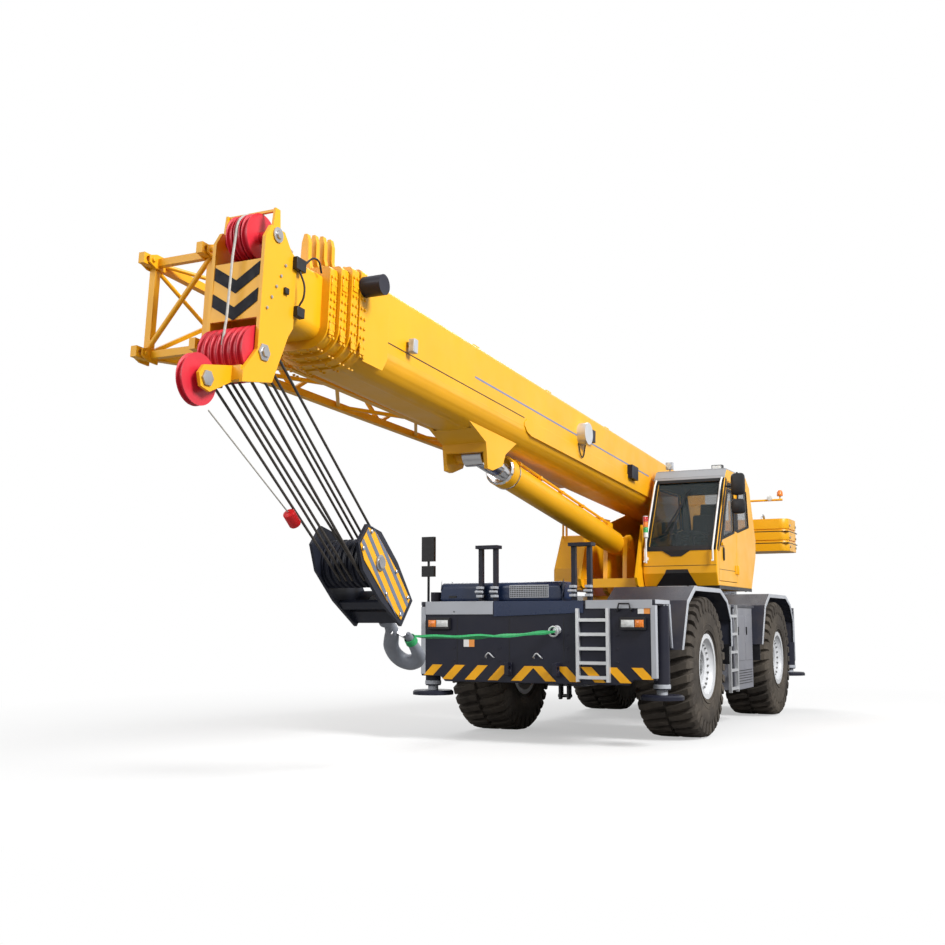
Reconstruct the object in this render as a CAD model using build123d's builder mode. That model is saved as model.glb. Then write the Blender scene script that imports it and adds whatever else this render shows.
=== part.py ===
from build123d import *
import os
from math import cos, hypot, radians, sin

os.makedirs("parts", exist_ok=True)

# Two-axle rough-terrain crane with a five-section boom.
# X forward, Y left, Z up, ground at Z = 0, origin under the slewing axis.

# Fits
FIT = 0.4
CLEAR = 6.0

# Running gear
WHEELBASE = 4100.0
TRACK = 2440.0
TYRE_RADIUS = 860.0
TYRE_WIDTH = 700.0
BEAD_HALF = 294.0
RIM_RADIUS = 370.0
RIM_WALL = 30.0
HUB_RADIUS = 175.0
KINGPIN_Y = 850.0
KINGPIN_RADIUS = 45.0
KNUCKLE_RADIUS = 85.0
KNUCKLE_HALF = 150.0
YOKE_ARM = 55.0
AXLE_TUBE_RADIUS = 125.0
DIFFERENTIAL_RADIUS = 260.0
HUB_Z = TYRE_RADIUS
WHEEL_Y = TRACK / 2
AXLE_X = WHEELBASE / 2
CORNERS = {"fl": (1, 1), "fr": (1, -1), "rl": (-1, 1), "rr": (-1, -1)}

# Carrier
FRAME_HALF = 420.0
RAIL_WIDTH = 140.0
FRAME_BOTTOM = 1040.0
FRAME_TOP = 1480.0
PEDESTAL_RADIUS = 720.0
PEDESTAL_TOP = 1620.0
RING_OUTER = 760.0
RING_INNER = 600.0
RING_TOP = 1700.0
PANEL_HALF = 1465.0
PANEL_BOTTOM = 700.0
PANEL_THICK = 60.0
DECK_Z = 1600.0
TOW_Y = 300.0
TOW_Z = 860.0
TOW_THICK = 50.0
TOW_RADIUS = 32.0
DECK_THICK = 40.0
FENDER_TOP = 1825.0
FENDER_THICK = 32.0
FENDER_IN = 560.0
FENDER_OUT = 1560.0
LEG_FRONT = 1120.0
LEG_REAR = 1220.0
LEG_FOOT = 1080.0
TANK_FRONT = 300.0
TANK_REAR = -780.0
TANK_IN = 720.0
TANK_OUT = 1470.0
TANK_BOTTOM = 480.0

# Outriggers
BEAM_WIDTH = 200.0
BEAM_HEIGHT = 300.0
BOX_WALL = 15.0
BAY = BEAM_WIDTH + 2 * CLEAR
BOX_LENGTH = 2 * BAY + 3 * BOX_WALL
BOX_HALF = 1300.0
BOX_BOTTOM = 815.0
BOX_HEIGHT = BEAM_HEIGHT + CLEAR + FIT + 2 * BOX_WALL
BOX_GAP = 38.5
BOX_X = AXLE_X + LEG_REAR + BOX_GAP + BOX_LENGTH / 2
BEAM_BOTTOM = BOX_BOTTOM + BOX_WALL + FIT
JACK_Y = 1400.0
JACK_RADIUS = 92.0
JACK_ROD = 62.0
JACK_TOP = 1580.0
JACK_BOTTOM = 640.0
FLOAT_RADIUS = 245.0
FLOAT_BOTTOM = 530.0
FLOAT_THICK = 55.0
PANEL_X = BOX_X + BOX_LENGTH / 2

# Turntable
PLATE_IN = 385.0
PLATE_THICK = 35.0
PLATE_OUT = PLATE_IN + PLATE_THICK
TABLE_BOTTOM = RING_TOP + FIT
TABLE_FLOOR = 1765.0
PLATFORM_BOTTOM = 1848.0
PLATFORM_TOP = 1880.0
PIVOT_X = -2300.0
PIVOT_Z = 3050.0
PIVOT_PIN = 80.0
WEIGHT_FRONT = -3000.0
WEIGHT_DEPTH = 750.0
WEIGHT_WIDTH = 3160.0
WEIGHT_BOTTOM = 2560.0
WEIGHT_SLAB = 165.0
WEIGHT_SEAM = 17.0
WINCHES = ((-1650.0, 2300.0, 280.0), (-2480.0, 2400.0, 255.0))

# Cab
CAB_IN = 430.0
CAB_OUT = 1450.0
CAB_WALL = 50.0
CAB_FLOOR = PLATFORM_TOP
CAB_ROOF = 3500.0
CAB_NOSE = 1060.0
SCREEN_SILL = 2350.0
SCREEN_HEAD = 3400.0
SCREEN_TOP_X = 480.0
DOOR_REAR = -20.0
DOOR_GAP = 6.0
HINGE_RADIUS = 15.0
HINGE_Y = CAB_OUT + HINGE_RADIUS + 3.0
GLASS_THICK = 12.0

# Lift cylinder pins
LOWER_PIN = (800.0, 2455.0)
UPPER_PIN = (5330.0, 3156.0)
PIN_RADIUS = 70.0
BARREL_RADIUS = 155.0
ROD_RADIUS = 105.0
EYE_RADIUS = 125.0
EYE_WIDTH = 220.0
GLAND_AT = 3970.0
BRACKET_IN = 215.0
BRACKET_THICK = 40.0
BRACKET_SINK = 52.0

# Boom
BOOM_ANGLE = 3.8
BOOM_WIDTH = 700.0
BOOM_HEIGHT = 800.0
BOOM_WALL = 12.0
BOOM_STEP = 64.0
BOOM_CENTRE = 150.0
BOOM_TAIL = -200.0
BOOM_FRONT = 10625.0
COLLAR_STEP = 115.0
COLLAR_LENGTH = 105.0
COLLAR_RIM = 22.0
SECTION_TAIL = 900.0
BELLY = 240.0
FIN_HEIGHT = 330.0
HEAD_START = 11430.0
HEAD_PLATE_IN = 217.0
HEAD_PLATE = 30.0
SHEAVE_U = 11720.0
SHEAVE_V = -450.0
SHEAVE_RADIUS = 210.0
SHEAVE_PITCH = 60.0
SHEAVE_HALF = 27.0
GROOVE_DEPTH = 22.2
TOP_SHEAVE_U = 11640.0
TOP_SHEAVE_V = 505.0
TOP_SHEAVE_RADIUS = 190.0
NOSE_U = 12215.0
NOSE_V = -765.0
NOSE_Y = 50.0
NOSE_HALF = 70.0
NOSE_RADIUS = 190.0

# Stowed jib, along the boom's right side
JIB_BASE_U = 11540.0
JIB_TIP_U = 4300.0
JIB_NEAR = -480.0
JIB_WIDTH = 590.0
JIB_LOW = -285.0
JIB_HEIGHT = 790.0
JIB_NECK = 0.16
JIB_NECK_LOW = -110.0
JIB_NECK_HEIGHT = 560.0
JIB_NECK_WIDTH = 520.0
JIB_TIP_LOW = -30.0
JIB_TIP_SIZE = 320.0
JIB_CHORD = 70.0
JIB_BRACE = 34.0
JIB_BAYS = 8

# Hook
ROPE_LEAN = 49.0
ROPE_RADIUS = 11.0
ROPE_DRAW = SHEAVE_RADIUS - GROOVE_DEPTH + 12.2
ROPE_LENGTH = 2260.0
FALLS = (-3, -1, 0, 1, 3)
CHEEK_IN = 215.0
CHEEK_THICK = 30.0
SHANK_RADIUS = 58.0
HOOK_REACH = 1190.0
HOOK_DROP = ROPE_LENGTH + HOOK_REACH
HOOK_BOWL = 118.0
HOOK_STOCK = 64.0

BOOM = Plane(
    origin=(PIVOT_X, 0, PIVOT_Z),
    x_dir=(cos(radians(BOOM_ANGLE)), 0, sin(radians(BOOM_ANGLE))),
    z_dir=(-sin(radians(BOOM_ANGLE)), 0, cos(radians(BOOM_ANGLE))),
)
SHEAVE_CENTRE = BOOM.from_local_coords((SHEAVE_U, 0, SHEAVE_V))
ROPE = Plane(
    origin=SHEAVE_CENTRE,
    x_dir=(cos(radians(ROPE_LEAN)), 0, -sin(radians(ROPE_LEAN))),
    z_dir=(sin(radians(ROPE_LEAN)), 0, cos(radians(ROPE_LEAN))),
)
RAM = Plane(
    origin=(LOWER_PIN[0], 0, LOWER_PIN[1]),
    x_dir=(0, 1, 0),
    z_dir=(UPPER_PIN[0] - LOWER_PIN[0], 0, UPPER_PIN[1] - LOWER_PIN[1]),
)
RAM_LENGTH = hypot(UPPER_PIN[0] - LOWER_PIN[0], UPPER_PIN[1] - LOWER_PIN[1])


def write(builder, name):
    builder.part.label = name
    export_step(builder.part, "parts/" + name + ".step")


def side_plane(y):
    """World X and Z in a plane at this Y, extruding toward +Y."""
    return Plane(origin=(0, y, 0), x_dir=(1, 0, 0), z_dir=(0, -1, 0))


def boom_side(y):
    """Boom length and height in a plane at this Y, facing -Y."""
    return Plane(BOOM.from_local_coords((0, y, 0)), x_dir=BOOM.x_dir, z_dir=-BOOM.y_dir)


def boom_cross(u):
    """Boom width and height in a plane at this length, facing the head."""
    return Plane(BOOM.from_local_coords((u, 0, 0)), x_dir=BOOM.y_dir, z_dir=BOOM.x_dir)


def wheel_plane(x, side):
    """Outward axial and radial directions of one wheel."""
    return Plane(
        origin=(x * AXLE_X, side * WHEEL_Y, HUB_Z), x_dir=(0, side, 0), z_dir=(side, 0, 0)
    )


def slab(points, plane, amount, mode=Mode.ADD):
    """Plate of this outline, extruded against the plane's normal."""
    with BuildSketch(plane) as outline:
        with BuildLine():
            Polyline(*points, close=True)
        make_face()
    extrude(outline.sketch, amount=-amount, mode=mode)


def boom_profile(width, height, radius):
    """Boom cross-section: square top, deep rounded belly."""
    with BuildSketch(mode=Mode.PRIVATE) as profile:
        with Locations((0, BOOM_CENTRE)):
            Rectangle(width, height)
        fillet(profile.vertices().group_by(Axis.Y)[0], radius)
        fillet(profile.vertices().group_by(Axis.Y)[-1], 40)
    return profile.sketch


def tube(u, length, outer, inner):
    """Hollow boom tube from u, given outer and inner width, height and belly radius."""
    with BuildSketch(boom_cross(u)) as ring:
        add(boom_profile(*outer))
        add(boom_profile(*inner), mode=Mode.SUBTRACT)
    extrude(ring.sketch, amount=length)


def section_size(index):
    return (
        BOOM_WIDTH - index * BOOM_STEP,
        BOOM_HEIGHT - index * BOOM_STEP,
        BELLY - index * BOOM_STEP / 2,
    )


def grown(size, by):
    return (size[0] + 2 * by, size[1] + 2 * by, size[2] + by)


def strut(start, end, thick):
    """Square bar between two points."""
    a = Vector(*start)
    b = Vector(*end)
    with BuildSketch(Plane(origin=a, z_dir=(b - a))) as end:
        Rectangle(thick, thick)
    extrude(end.sketch, amount=(b - a).length)


def fin(u, v):
    """Tapered rope-guide fin standing on a collar."""
    with BuildSketch(boom_cross(u)) as plate:
        with BuildLine():
            Polyline(
                (-62, v - 8),
                (-62, v + 40),
                (-38, v + 120),
                (-34, v + FIN_HEIGHT - 70),
                (-14, v + FIN_HEIGHT),
                (14, v + FIN_HEIGHT),
                (34, v + FIN_HEIGHT - 70),
                (38, v + 120),
                (62, v + 40),
                (62, v - 8),
                close=True,
            )
        make_face()
    extrude(plate.sketch, amount=-50)


def cross_pin(x, z, radius, half, mode=Mode.ADD):
    """Round pin along Y, centred on Y = 0."""
    with BuildSketch(Plane(origin=(x, 0, z), x_dir=(1, 0, 0), z_dir=(0, 1, 0))) as disc:
        Circle(radius)
    extrude(disc.sketch, amount=half, both=True, mode=mode)


# Chassis frame: two rails, cross-members, outrigger boxes, slewing pedestal
with BuildPart() as chassis_frame:
    for side in (-1, 1):
        with Locations((0, side * (FRAME_HALF - RAIL_WIDTH / 2), (FRAME_BOTTOM + FRAME_TOP) / 2)):
            Box(2 * PANEL_X, RAIL_WIDTH, FRAME_TOP - FRAME_BOTTOM)
    for x in (-2650, -1350, -400, 400, 1350, 2650):
        with Locations((x, 0, (FRAME_BOTTOM + FRAME_TOP) / 2)):
            Box(160, 2 * FRAME_HALF - RAIL_WIDTH, FRAME_TOP - FRAME_BOTTOM)
    with Locations((0, 0, (FRAME_TOP + PEDESTAL_TOP) / 2 - 60)):
        Cylinder(PEDESTAL_RADIUS, PEDESTAL_TOP - FRAME_TOP + 120)
    for end in (-1, 1):
        with Locations((end * BOX_X, 0, BOX_BOTTOM + BOX_HEIGHT / 2)):
            Box(BOX_LENGTH, 2 * BOX_HALF, BOX_HEIGHT)
        with Locations((end * BOX_X, 0, (FRAME_TOP + DECK_Z) / 2)):
            Box(BOX_LENGTH, 2 * FRAME_HALF, DECK_Z - FRAME_TOP)
        for bay in (-1, 1):
            with Locations(
                (
                    end * BOX_X + bay * (BAY + BOX_WALL) / 2,
                    0,
                    BOX_BOTTOM + BOX_WALL + (BEAM_HEIGHT + CLEAR + FIT) / 2,
                )
            ):
                Box(BAY, 2 * BOX_HALF + 2, BEAM_HEIGHT + CLEAR + FIT, mode=Mode.SUBTRACT)
    for side in (-1, 1):
        bracket_y = side * (FRAME_HALF + FENDER_OUT - 160) / 2
        bracket_width = FENDER_OUT - 160 - FRAME_HALF + 20
        for x in (AXLE_X - LEG_REAR - 20, -AXLE_X + LEG_FRONT + 20):
            with Locations((x, bracket_y, LEG_FOOT - 25)):
                Box(90, bracket_width, 50)
        shelf = BOX_X - BOX_LENGTH / 2 - AXLE_X - LEG_FRONT + 60
        with Locations((BOX_X - BOX_LENGTH / 2 - shelf / 2 + 1, side * 950, LEG_FOOT - 25)):
            Box(shelf + 2, 700, 50)
        shelf = BOX_X - BOX_LENGTH / 2 - AXLE_X - LEG_REAR + 60
        with Locations((-BOX_X + BOX_LENGTH / 2 + shelf / 2 - 1, side * 950, LEG_FOOT - 25)):
            Box(shelf + 2, 700, 50)
        for x in (TANK_FRONT - 200, TANK_REAR + 200):
            with Locations((x, side * (FRAME_HALF + TANK_IN) / 2, 1200)):
                Box(120, TANK_IN - FRAME_HALF, 160)
write(chassis_frame, "chassis_frame")

# Drive axles with steering yokes
with BuildPart() as axles:
    for x in (-AXLE_X, AXLE_X):
        cross_pin(x, HUB_Z, AXLE_TUBE_RADIUS, KINGPIN_Y - KNUCKLE_RADIUS - 75)
        with Locations((x, 0, HUB_Z)):
            Sphere(DIFFERENTIAL_RADIUS)
        toward = -1 if x > 0 else 1
        with BuildSketch(Plane(origin=(x, 0, HUB_Z), x_dir=(0, 1, 0), z_dir=(toward, 0, 0))):
            Circle(95)
        extrude(amount=DIFFERENTIAL_RADIUS + 50)
        for side in (-1, 1):
            with Locations((x, side * (FRAME_HALF - RAIL_WIDTH / 2), (HUB_Z + FRAME_BOTTOM) / 2)):
                Box(260, RAIL_WIDTH - 20, FRAME_BOTTOM - HUB_Z)
            web_y = KINGPIN_Y - KNUCKLE_RADIUS - 45
            with Locations((x, side * web_y, HUB_Z)):
                Box(2 * KNUCKLE_RADIUS, 70, 2 * (KNUCKLE_HALF + FIT + YOKE_ARM))
            for up in (-1, 1):
                arm_z = HUB_Z + up * (KNUCKLE_HALF + FIT + YOKE_ARM / 2)
                arm_length = KINGPIN_Y - web_y
                with Locations((x, side * (web_y + arm_length / 2), arm_z)):
                    Box(2 * KNUCKLE_RADIUS, arm_length, YOKE_ARM)
                with Locations((x, side * KINGPIN_Y, arm_z)):
                    Cylinder(KNUCKLE_RADIUS, YOKE_ARM)
                    Cylinder(KINGPIN_RADIUS + FIT, YOKE_ARM, mode=Mode.SUBTRACT)
write(axles, "axles")

# Gearbox and propeller shafts
with BuildPart() as driveline:
    with Locations((0, 0, FRAME_BOTTOM - 140)):
        Box(1000, 480, 280)
    fillet(driveline.edges().filter_by(Axis.Z), 60)
    for end in (-1, 1):
        with BuildSketch(Plane(origin=(end * 490, 0, HUB_Z), x_dir=(0, 1, 0), z_dir=(end, 0, 0))):
            Circle(50)
        extrude(amount=AXLE_X - DIFFERENTIAL_RADIUS - 50 - 490)
write(driveline, "driveline")

# Engine, one plain block under the rear hood
with BuildPart() as engine_block:
    with Locations((-AXLE_X - 850, 0, FRAME_TOP + 220)):
        Box(800, 760, 440)
write(engine_block, "engine_block")

# Front and rear end panels
with BuildPart() as end_panels:
    for end in (-1, 1):
        with BuildSketch(Plane(origin=(end * PANEL_X, 0, 0), x_dir=(0, end, 0), z_dir=(end, 0, 0))):
            with BuildLine():
                Polyline(
                    (-PANEL_HALF, DECK_Z),
                    (-PANEL_HALF, PANEL_BOTTOM + 60),
                    (-PANEL_HALF + 260, PANEL_BOTTOM + 60),
                    (-PANEL_HALF + 320, PANEL_BOTTOM),
                    (PANEL_HALF - 320, PANEL_BOTTOM),
                    (PANEL_HALF - 260, PANEL_BOTTOM + 60),
                    (PANEL_HALF, PANEL_BOTTOM + 60),
                    (PANEL_HALF, DECK_Z),
                    close=True,
                )
            make_face()
        extrude(amount=PANEL_THICK)
        for side in (-1, 1):
            with BuildSketch(side_plane(side * TOW_Y - TOW_THICK / 2)):
                with Locations((end * (PANEL_X + PANEL_THICK + 45), TOW_Z)):
                    Rectangle(110, 150)
                with Locations((end * (PANEL_X + PANEL_THICK + 50), TOW_Z)):
                    Circle(TOW_RADIUS, mode=Mode.SUBTRACT)
            extrude(amount=-TOW_THICK)
write(end_panels, "end_panels")

# Decks over the carrier
with BuildPart() as decks:
    deck_front = PANEL_X + PANEL_THICK
    deck_rear = BOX_X - BOX_LENGTH / 2
    for end in (-1, 1):
        with Locations((end * (deck_front + deck_rear) / 2, 0, DECK_Z + DECK_THICK / 2)):
            Box(deck_front - deck_rear, 2 * PANEL_HALF, DECK_THICK)
    for side in (-1, 1):
        walk_in = RING_OUTER + 30
        walk_out = TANK_OUT + 10
        with Locations(((TANK_FRONT + TANK_REAR) / 2 + 120, side * (walk_in + walk_out) / 2, DECK_Z + DECK_THICK / 2)):
            Box(TANK_FRONT - TANK_REAR + 380, walk_out - walk_in, DECK_THICK)
write(decks, "decks")

# Front equipment hood and hollow rear engine hood
with BuildPart() as hoods:
    with Locations((BOX_X - 40, -480, DECK_Z + DECK_THICK + 115)):
        Box(430, 1600, 230)
    fillet(hoods.edges().filter_by(Axis.Y).group_by(Axis.Z)[-1], 70)
    with Locations((-3110, 0, DECK_Z + DECK_THICK + 190)):
        rear_hood = Box(1340, 1060, 380)
    fillet(rear_hood.edges().filter_by(Axis.Y).group_by(Axis.Z)[-1], 80)
    with Locations((-3110, 0, DECK_Z + DECK_THICK + 175)):
        Box(1280, 1000, 352, mode=Mode.SUBTRACT)
write(hoods, "hoods")

# Four wheel-arch fenders
with BuildPart() as fenders:
    outline = [
        (-LEG_REAR, LEG_FOOT),
        (-LEG_REAR, 1420),
        (-1010, 1690),
        (-660, FENDER_TOP),
        (540, FENDER_TOP),
        (860, 1650),
        (LEG_FRONT, LEG_FOOT),
    ]
    inner = [(x * 1.0 - (FENDER_THICK if x > 0 else -FENDER_THICK), z) for x, z in outline]
    inner[2] = (-1000 + 14, 1690 - 30)
    inner[3] = (-652, FENDER_TOP - FENDER_THICK)
    inner[4] = (530, FENDER_TOP - FENDER_THICK)
    inner[5] = (838, 1650 - 28)
    for x in (-AXLE_X, AXLE_X):
        arch = [(px + x, z) for px, z in outline + inner[::-1]]
        for side in (-1, 1):
            start = FENDER_IN if side > 0 else -FENDER_OUT
            slab(arch, side_plane(start), FENDER_OUT - FENDER_IN)
write(fenders, "fenders")

# Side tanks between the wheels
with BuildPart() as side_tanks:
    for side in (-1, 1):
        with Locations(
            ((TANK_FRONT + TANK_REAR) / 2, side * (TANK_IN + TANK_OUT) / 2, (TANK_BOTTOM + DECK_Z) / 2)
        ):
            Box(TANK_FRONT - TANK_REAR, TANK_OUT - TANK_IN, DECK_Z - TANK_BOTTOM)
    fillet(side_tanks.edges().filter_by(Axis.Z), 60)
write(side_tanks, "side_tanks")

# Ladders on the front panel and both sides
with BuildPart() as ladders:
    ladder_x = PANEL_X + PANEL_THICK + 25
    for y in (560, 920):
        with Locations((ladder_x, y, 1140)):
            Box(50, 36, 820)
    for z in (780, 940, 1100, 1260, 1420):
        with Locations((ladder_x, 740, z)):
            Box(40, 340, 36)
    for side in (-1, 1):
        for x in (340, 720):
            with Locations((x, side * 1500, 1050)):
                Box(36, 40, 1160)
        for z in (520, 760, 1000, 1240, 1480):
            with Locations((530, side * 1500, z)):
                Box(400, 36, 36)
write(ladders, "ladders")

# Twin-post stands and the air cleaner on the front deck
with BuildPart() as deck_stands:
    for y in (-590, 590):
        for shift in (-95, 95):
            with Locations((PANEL_X + 10, y + shift, DECK_Z + DECK_THICK + 310)):
                Box(60, 50, 620)
        with Locations((PANEL_X + 10, y, DECK_Z + DECK_THICK + 640)):
            Box(150, 280, 40)
    with Locations((BOX_X + 50, -1385, DECK_Z + DECK_THICK + 60)):
        Cylinder(78, 120)
write(deck_stands, "deck_stands")

# Head lamps and tail lamps
with BuildPart() as lamps:
    for end in (-1, 1):
        for side in (-1, 1):
            with Locations((end * (PANEL_X + PANEL_THICK + 25), side * 1215, 1380)):
                Box(50, 300, 140)
write(lamps, "lamps")

# Mirrors on a post at the front right corner
with BuildPart() as carrier_mirrors:
    with Locations((PANEL_X + 10, -1400, DECK_Z + DECK_THICK + 380)):
        Cylinder(15, 760)
    with Locations((PANEL_X + 10, -1400, 2280)):
        Box(50, 170, 300)
    with Locations((PANEL_X + 10, -1400, 2010)):
        Box(50, 170, 130)
write(carrier_mirrors, "carrier_mirrors")

# Fixed race of the slewing ring
with BuildPart() as slew_ring:
    with BuildSketch(Plane.XY.offset(PEDESTAL_TOP)):
        Circle(RING_OUTER)
        Circle(RING_INNER, mode=Mode.SUBTRACT)
    extrude(amount=RING_TOP - PEDESTAL_TOP)
write(slew_ring, "slew_ring")

# Outrigger beams with jack tubes, and jack rods with floats
for name, (end, side) in CORNERS.items():
    jack_x = end * BOX_X - side * (BAY + BOX_WALL) / 2
    with BuildPart() as beam:
        with Locations((jack_x, side * 40, BEAM_BOTTOM + BEAM_HEIGHT / 2)):
            Box(BEAM_WIDTH, 2 * JACK_Y - 80, BEAM_HEIGHT)
        with Locations((jack_x, side * JACK_Y, (JACK_TOP + JACK_BOTTOM) / 2)):
            Cylinder(JACK_RADIUS, JACK_TOP - JACK_BOTTOM)
        with Locations((jack_x, side * JACK_Y, (JACK_TOP + JACK_BOTTOM) / 2 - 30)):
            Cylinder(JACK_ROD + FIT, JACK_TOP - JACK_BOTTOM, mode=Mode.SUBTRACT)
    write(beam, "outrigger_beam_" + name)
    with BuildPart() as jack:
        with Locations((jack_x, side * JACK_Y, FLOAT_BOTTOM + FLOAT_THICK / 2)):
            Cylinder(FLOAT_RADIUS, FLOAT_THICK)
        chamfer(jack.edges().group_by(Axis.Z)[-1], 18)
        rod_top = JACK_TOP - 80
        with Locations((jack_x, side * JACK_Y, (FLOAT_BOTTOM + rod_top) / 2 + 20)):
            Cylinder(JACK_ROD, rod_top - FLOAT_BOTTOM - 40)
    write(jack, "outrigger_jack_" + name)

# Tyre form with rounded shoulders
with BuildPart() as tyre_form:
    half = TYRE_WIDTH / 2
    with BuildSketch(Plane(origin=(0, 0, 0), x_dir=(0, 1, 0), z_dir=(1, 0, 0))):
        with BuildLine():
            Polyline(
                (-BEAD_HALF, RIM_RADIUS),
                (-half + 10, RIM_RADIUS + 85),
                (-half, RIM_RADIUS + 250),
                (-half + 15, TYRE_RADIUS - 95),
                (-half + 80, TYRE_RADIUS - 8),
                (-half + 150, TYRE_RADIUS),
                (half - 150, TYRE_RADIUS),
                (half - 80, TYRE_RADIUS - 8),
                (half - 15, TYRE_RADIUS - 95),
                (half, RIM_RADIUS + 250),
                (half - 10, RIM_RADIUS + 85),
                (BEAD_HALF, RIM_RADIUS),
                close=True,
            )
        make_face()
    revolve(axis=Axis.Y)

# Steering knuckles, rims and tyres
for name, (end, side) in CORNERS.items():
    plane = wheel_plane(end, side)
    spin = Axis(plane.origin, (0, 1, 0))
    hub_inner = -170.0
    with BuildPart() as knuckle:
        with Locations((end * AXLE_X, side * KINGPIN_Y, HUB_Z)):
            Cylinder(KNUCKLE_RADIUS, 2 * KNUCKLE_HALF)
            Cylinder(KINGPIN_RADIUS, 2 * (KNUCKLE_HALF + FIT + YOKE_ARM))
        with BuildSketch(Plane(origin=(end * AXLE_X, side * KINGPIN_Y, HUB_Z), x_dir=(1, 0, 0), z_dir=(0, side, 0))):
            Circle(110)
        extrude(amount=WHEEL_Y + hub_inner - FIT - KINGPIN_Y)
    write(knuckle, "knuckle_" + name)
    with BuildPart() as rim:
        with BuildSketch(plane):
            with BuildLine():
                Polyline(
                    (hub_inner, 0),
                    (hub_inner, 150),
                    (60, HUB_RADIUS),
                    (60, RIM_RADIUS - RIM_WALL),
                    (-330, RIM_RADIUS - RIM_WALL),
                    (-330, RIM_RADIUS + 26),
                    (-310, RIM_RADIUS + 26),
                    (-295, RIM_RADIUS - FIT),
                    (295, RIM_RADIUS - FIT),
                    (310, RIM_RADIUS + 26),
                    (330, RIM_RADIUS + 26),
                    (330, RIM_RADIUS - RIM_WALL),
                    (95, RIM_RADIUS - RIM_WALL),
                    (95, HUB_RADIUS),
                    (200, HUB_RADIUS - 10),
                    (235, 120),
                    (235, 0),
                    close=True,
                )
            make_face()
        revolve(axis=spin)
    write(rim, "rim_" + name)
    with BuildPart() as tyre:
        add(tyre_form.part.moved(Location(plane.origin)))
    write(tyre, "tyre_" + name)

# Turntable: base, side plates with boom pivot, cylinder lugs, cab platform
with BuildPart() as turntable_frame:
    with Locations((0, 0, (TABLE_BOTTOM + TABLE_FLOOR) / 2)):
        Cylinder(800, TABLE_FLOOR - TABLE_BOTTOM)
    cheek = [
        (850, TABLE_FLOOR - 20),
        (1250, 1890),
        (1300, 1990),
        (1000, 2720),
        (300, 2800),
        (-1200, 3150),
        (PIVOT_X + 180, PIVOT_Z + 240),
        (PIVOT_X - 60, PIVOT_Z + 260),
        (PIVOT_X - 260, PIVOT_Z + 120),
        (WEIGHT_FRONT, 2900),
        (WEIGHT_FRONT, 2420),
        (-1000, TABLE_FLOOR - 20),
    ]
    for start in (PLATE_IN, -PLATE_OUT):
        slab(cheek, side_plane(start), PLATE_THICK)
    with Locations((1100, 0, 1930)):
        Box(140, 2 * PLATE_IN + 10, 120)
    with Locations((WEIGHT_FRONT + 50, 0, 2660)):
        Box(100, 2 * PLATE_IN + 10, 460)
    lug = [
        (LOWER_PIN[0] - 330, TABLE_FLOOR - 20),
        (LOWER_PIN[0] - 150, LOWER_PIN[1]),
        (LOWER_PIN[0] - 110, LOWER_PIN[1] + 110),
        (LOWER_PIN[0], LOWER_PIN[1] + 150),
        (LOWER_PIN[0] + 110, LOWER_PIN[1] + 110),
        (LOWER_PIN[0] + 150, LOWER_PIN[1]),
        (LOWER_PIN[0] + 200, TABLE_FLOOR + 60),
        (LOWER_PIN[0] - 20, TABLE_FLOOR - 20),
    ]
    for start in (EYE_WIDTH / 2 + FIT, -EYE_WIDTH / 2 - FIT - 60):
        slab(lug, side_plane(start), 60)
    with Locations((25, (PLATE_OUT + CAB_OUT) / 2 - 10, (PLATFORM_BOTTOM + PLATFORM_TOP) / 2)):
        Box(1850, CAB_OUT - PLATE_OUT, PLATFORM_TOP - PLATFORM_BOTTOM)
    with Locations((-200, -(PLATE_OUT + 950) / 2 + 5, (PLATFORM_BOTTOM + PLATFORM_TOP) / 2)):
        Box(2300, 950 - PLATE_OUT + 10, PLATFORM_TOP - PLATFORM_BOTTOM)
    cross_pin(PIVOT_X, PIVOT_Z, PIVOT_PIN + FIT, PLATE_OUT + 10, Mode.SUBTRACT)
    cross_pin(LOWER_PIN[0], LOWER_PIN[1], PIN_RADIUS + FIT, 260, Mode.SUBTRACT)
write(turntable_frame, "turntable_frame")

# Counterweight in three slabs with dark seams
with BuildPart() as counterweight:
    level = WEIGHT_BOTTOM
    for layer in range(3):
        with BuildSketch(Plane.XY.offset(level)):
            with Locations((WEIGHT_FRONT - WEIGHT_DEPTH / 2, 0)):
                RectangleRounded(WEIGHT_DEPTH, WEIGHT_WIDTH, 140)
        extrude(amount=WEIGHT_SLAB)
        level += WEIGHT_SLAB
        if layer < 2:
            with BuildSketch(Plane.XY.offset(level)):
                with Locations((WEIGHT_FRONT - WEIGHT_DEPTH / 2, 0)):
                    RectangleRounded(WEIGHT_DEPTH - 36, WEIGHT_WIDTH - 36, 122)
            extrude(amount=WEIGHT_SEAM)
            level += WEIGHT_SEAM
write(counterweight, "counterweight")

# Main and auxiliary winch drums with rope wound on
with BuildPart() as winches:
    for x, z, radius in WINCHES:
        cross_pin(x, z, 80, PLATE_IN)
        cross_pin(x, z, radius - 70, 300)
        for y in (-300, 280):
            with BuildSketch(Plane(origin=(x, y, z), x_dir=(1, 0, 0), z_dir=(0, -1, 0))):
                Circle(radius)
            extrude(amount=-20)
write(winches, "winches")

# Valve housing on the right of the turntable
with BuildPart() as valve_cover:
    housing = [(930, PLATFORM_TOP), (930, 2150), (640, 2640), (-1250, 2640), (-1300, 2560), (-1300, PLATFORM_TOP)]
    slab(housing, side_plane(-930), 930 - PLATE_OUT - 1)
write(valve_cover, "valve_cover")


def screen_x(z):
    """X of the raked windscreen's outer face at this height."""
    return CAB_NOSE - (z - SCREEN_SILL) * (CAB_NOSE - SCREEN_TOP_X) / (SCREEN_HEAD - SCREEN_SILL)


def back_x(z):
    """X of the raked rear wall's outer face at this height."""
    return -1230 + (z - 2600) * 330 / 780


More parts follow.
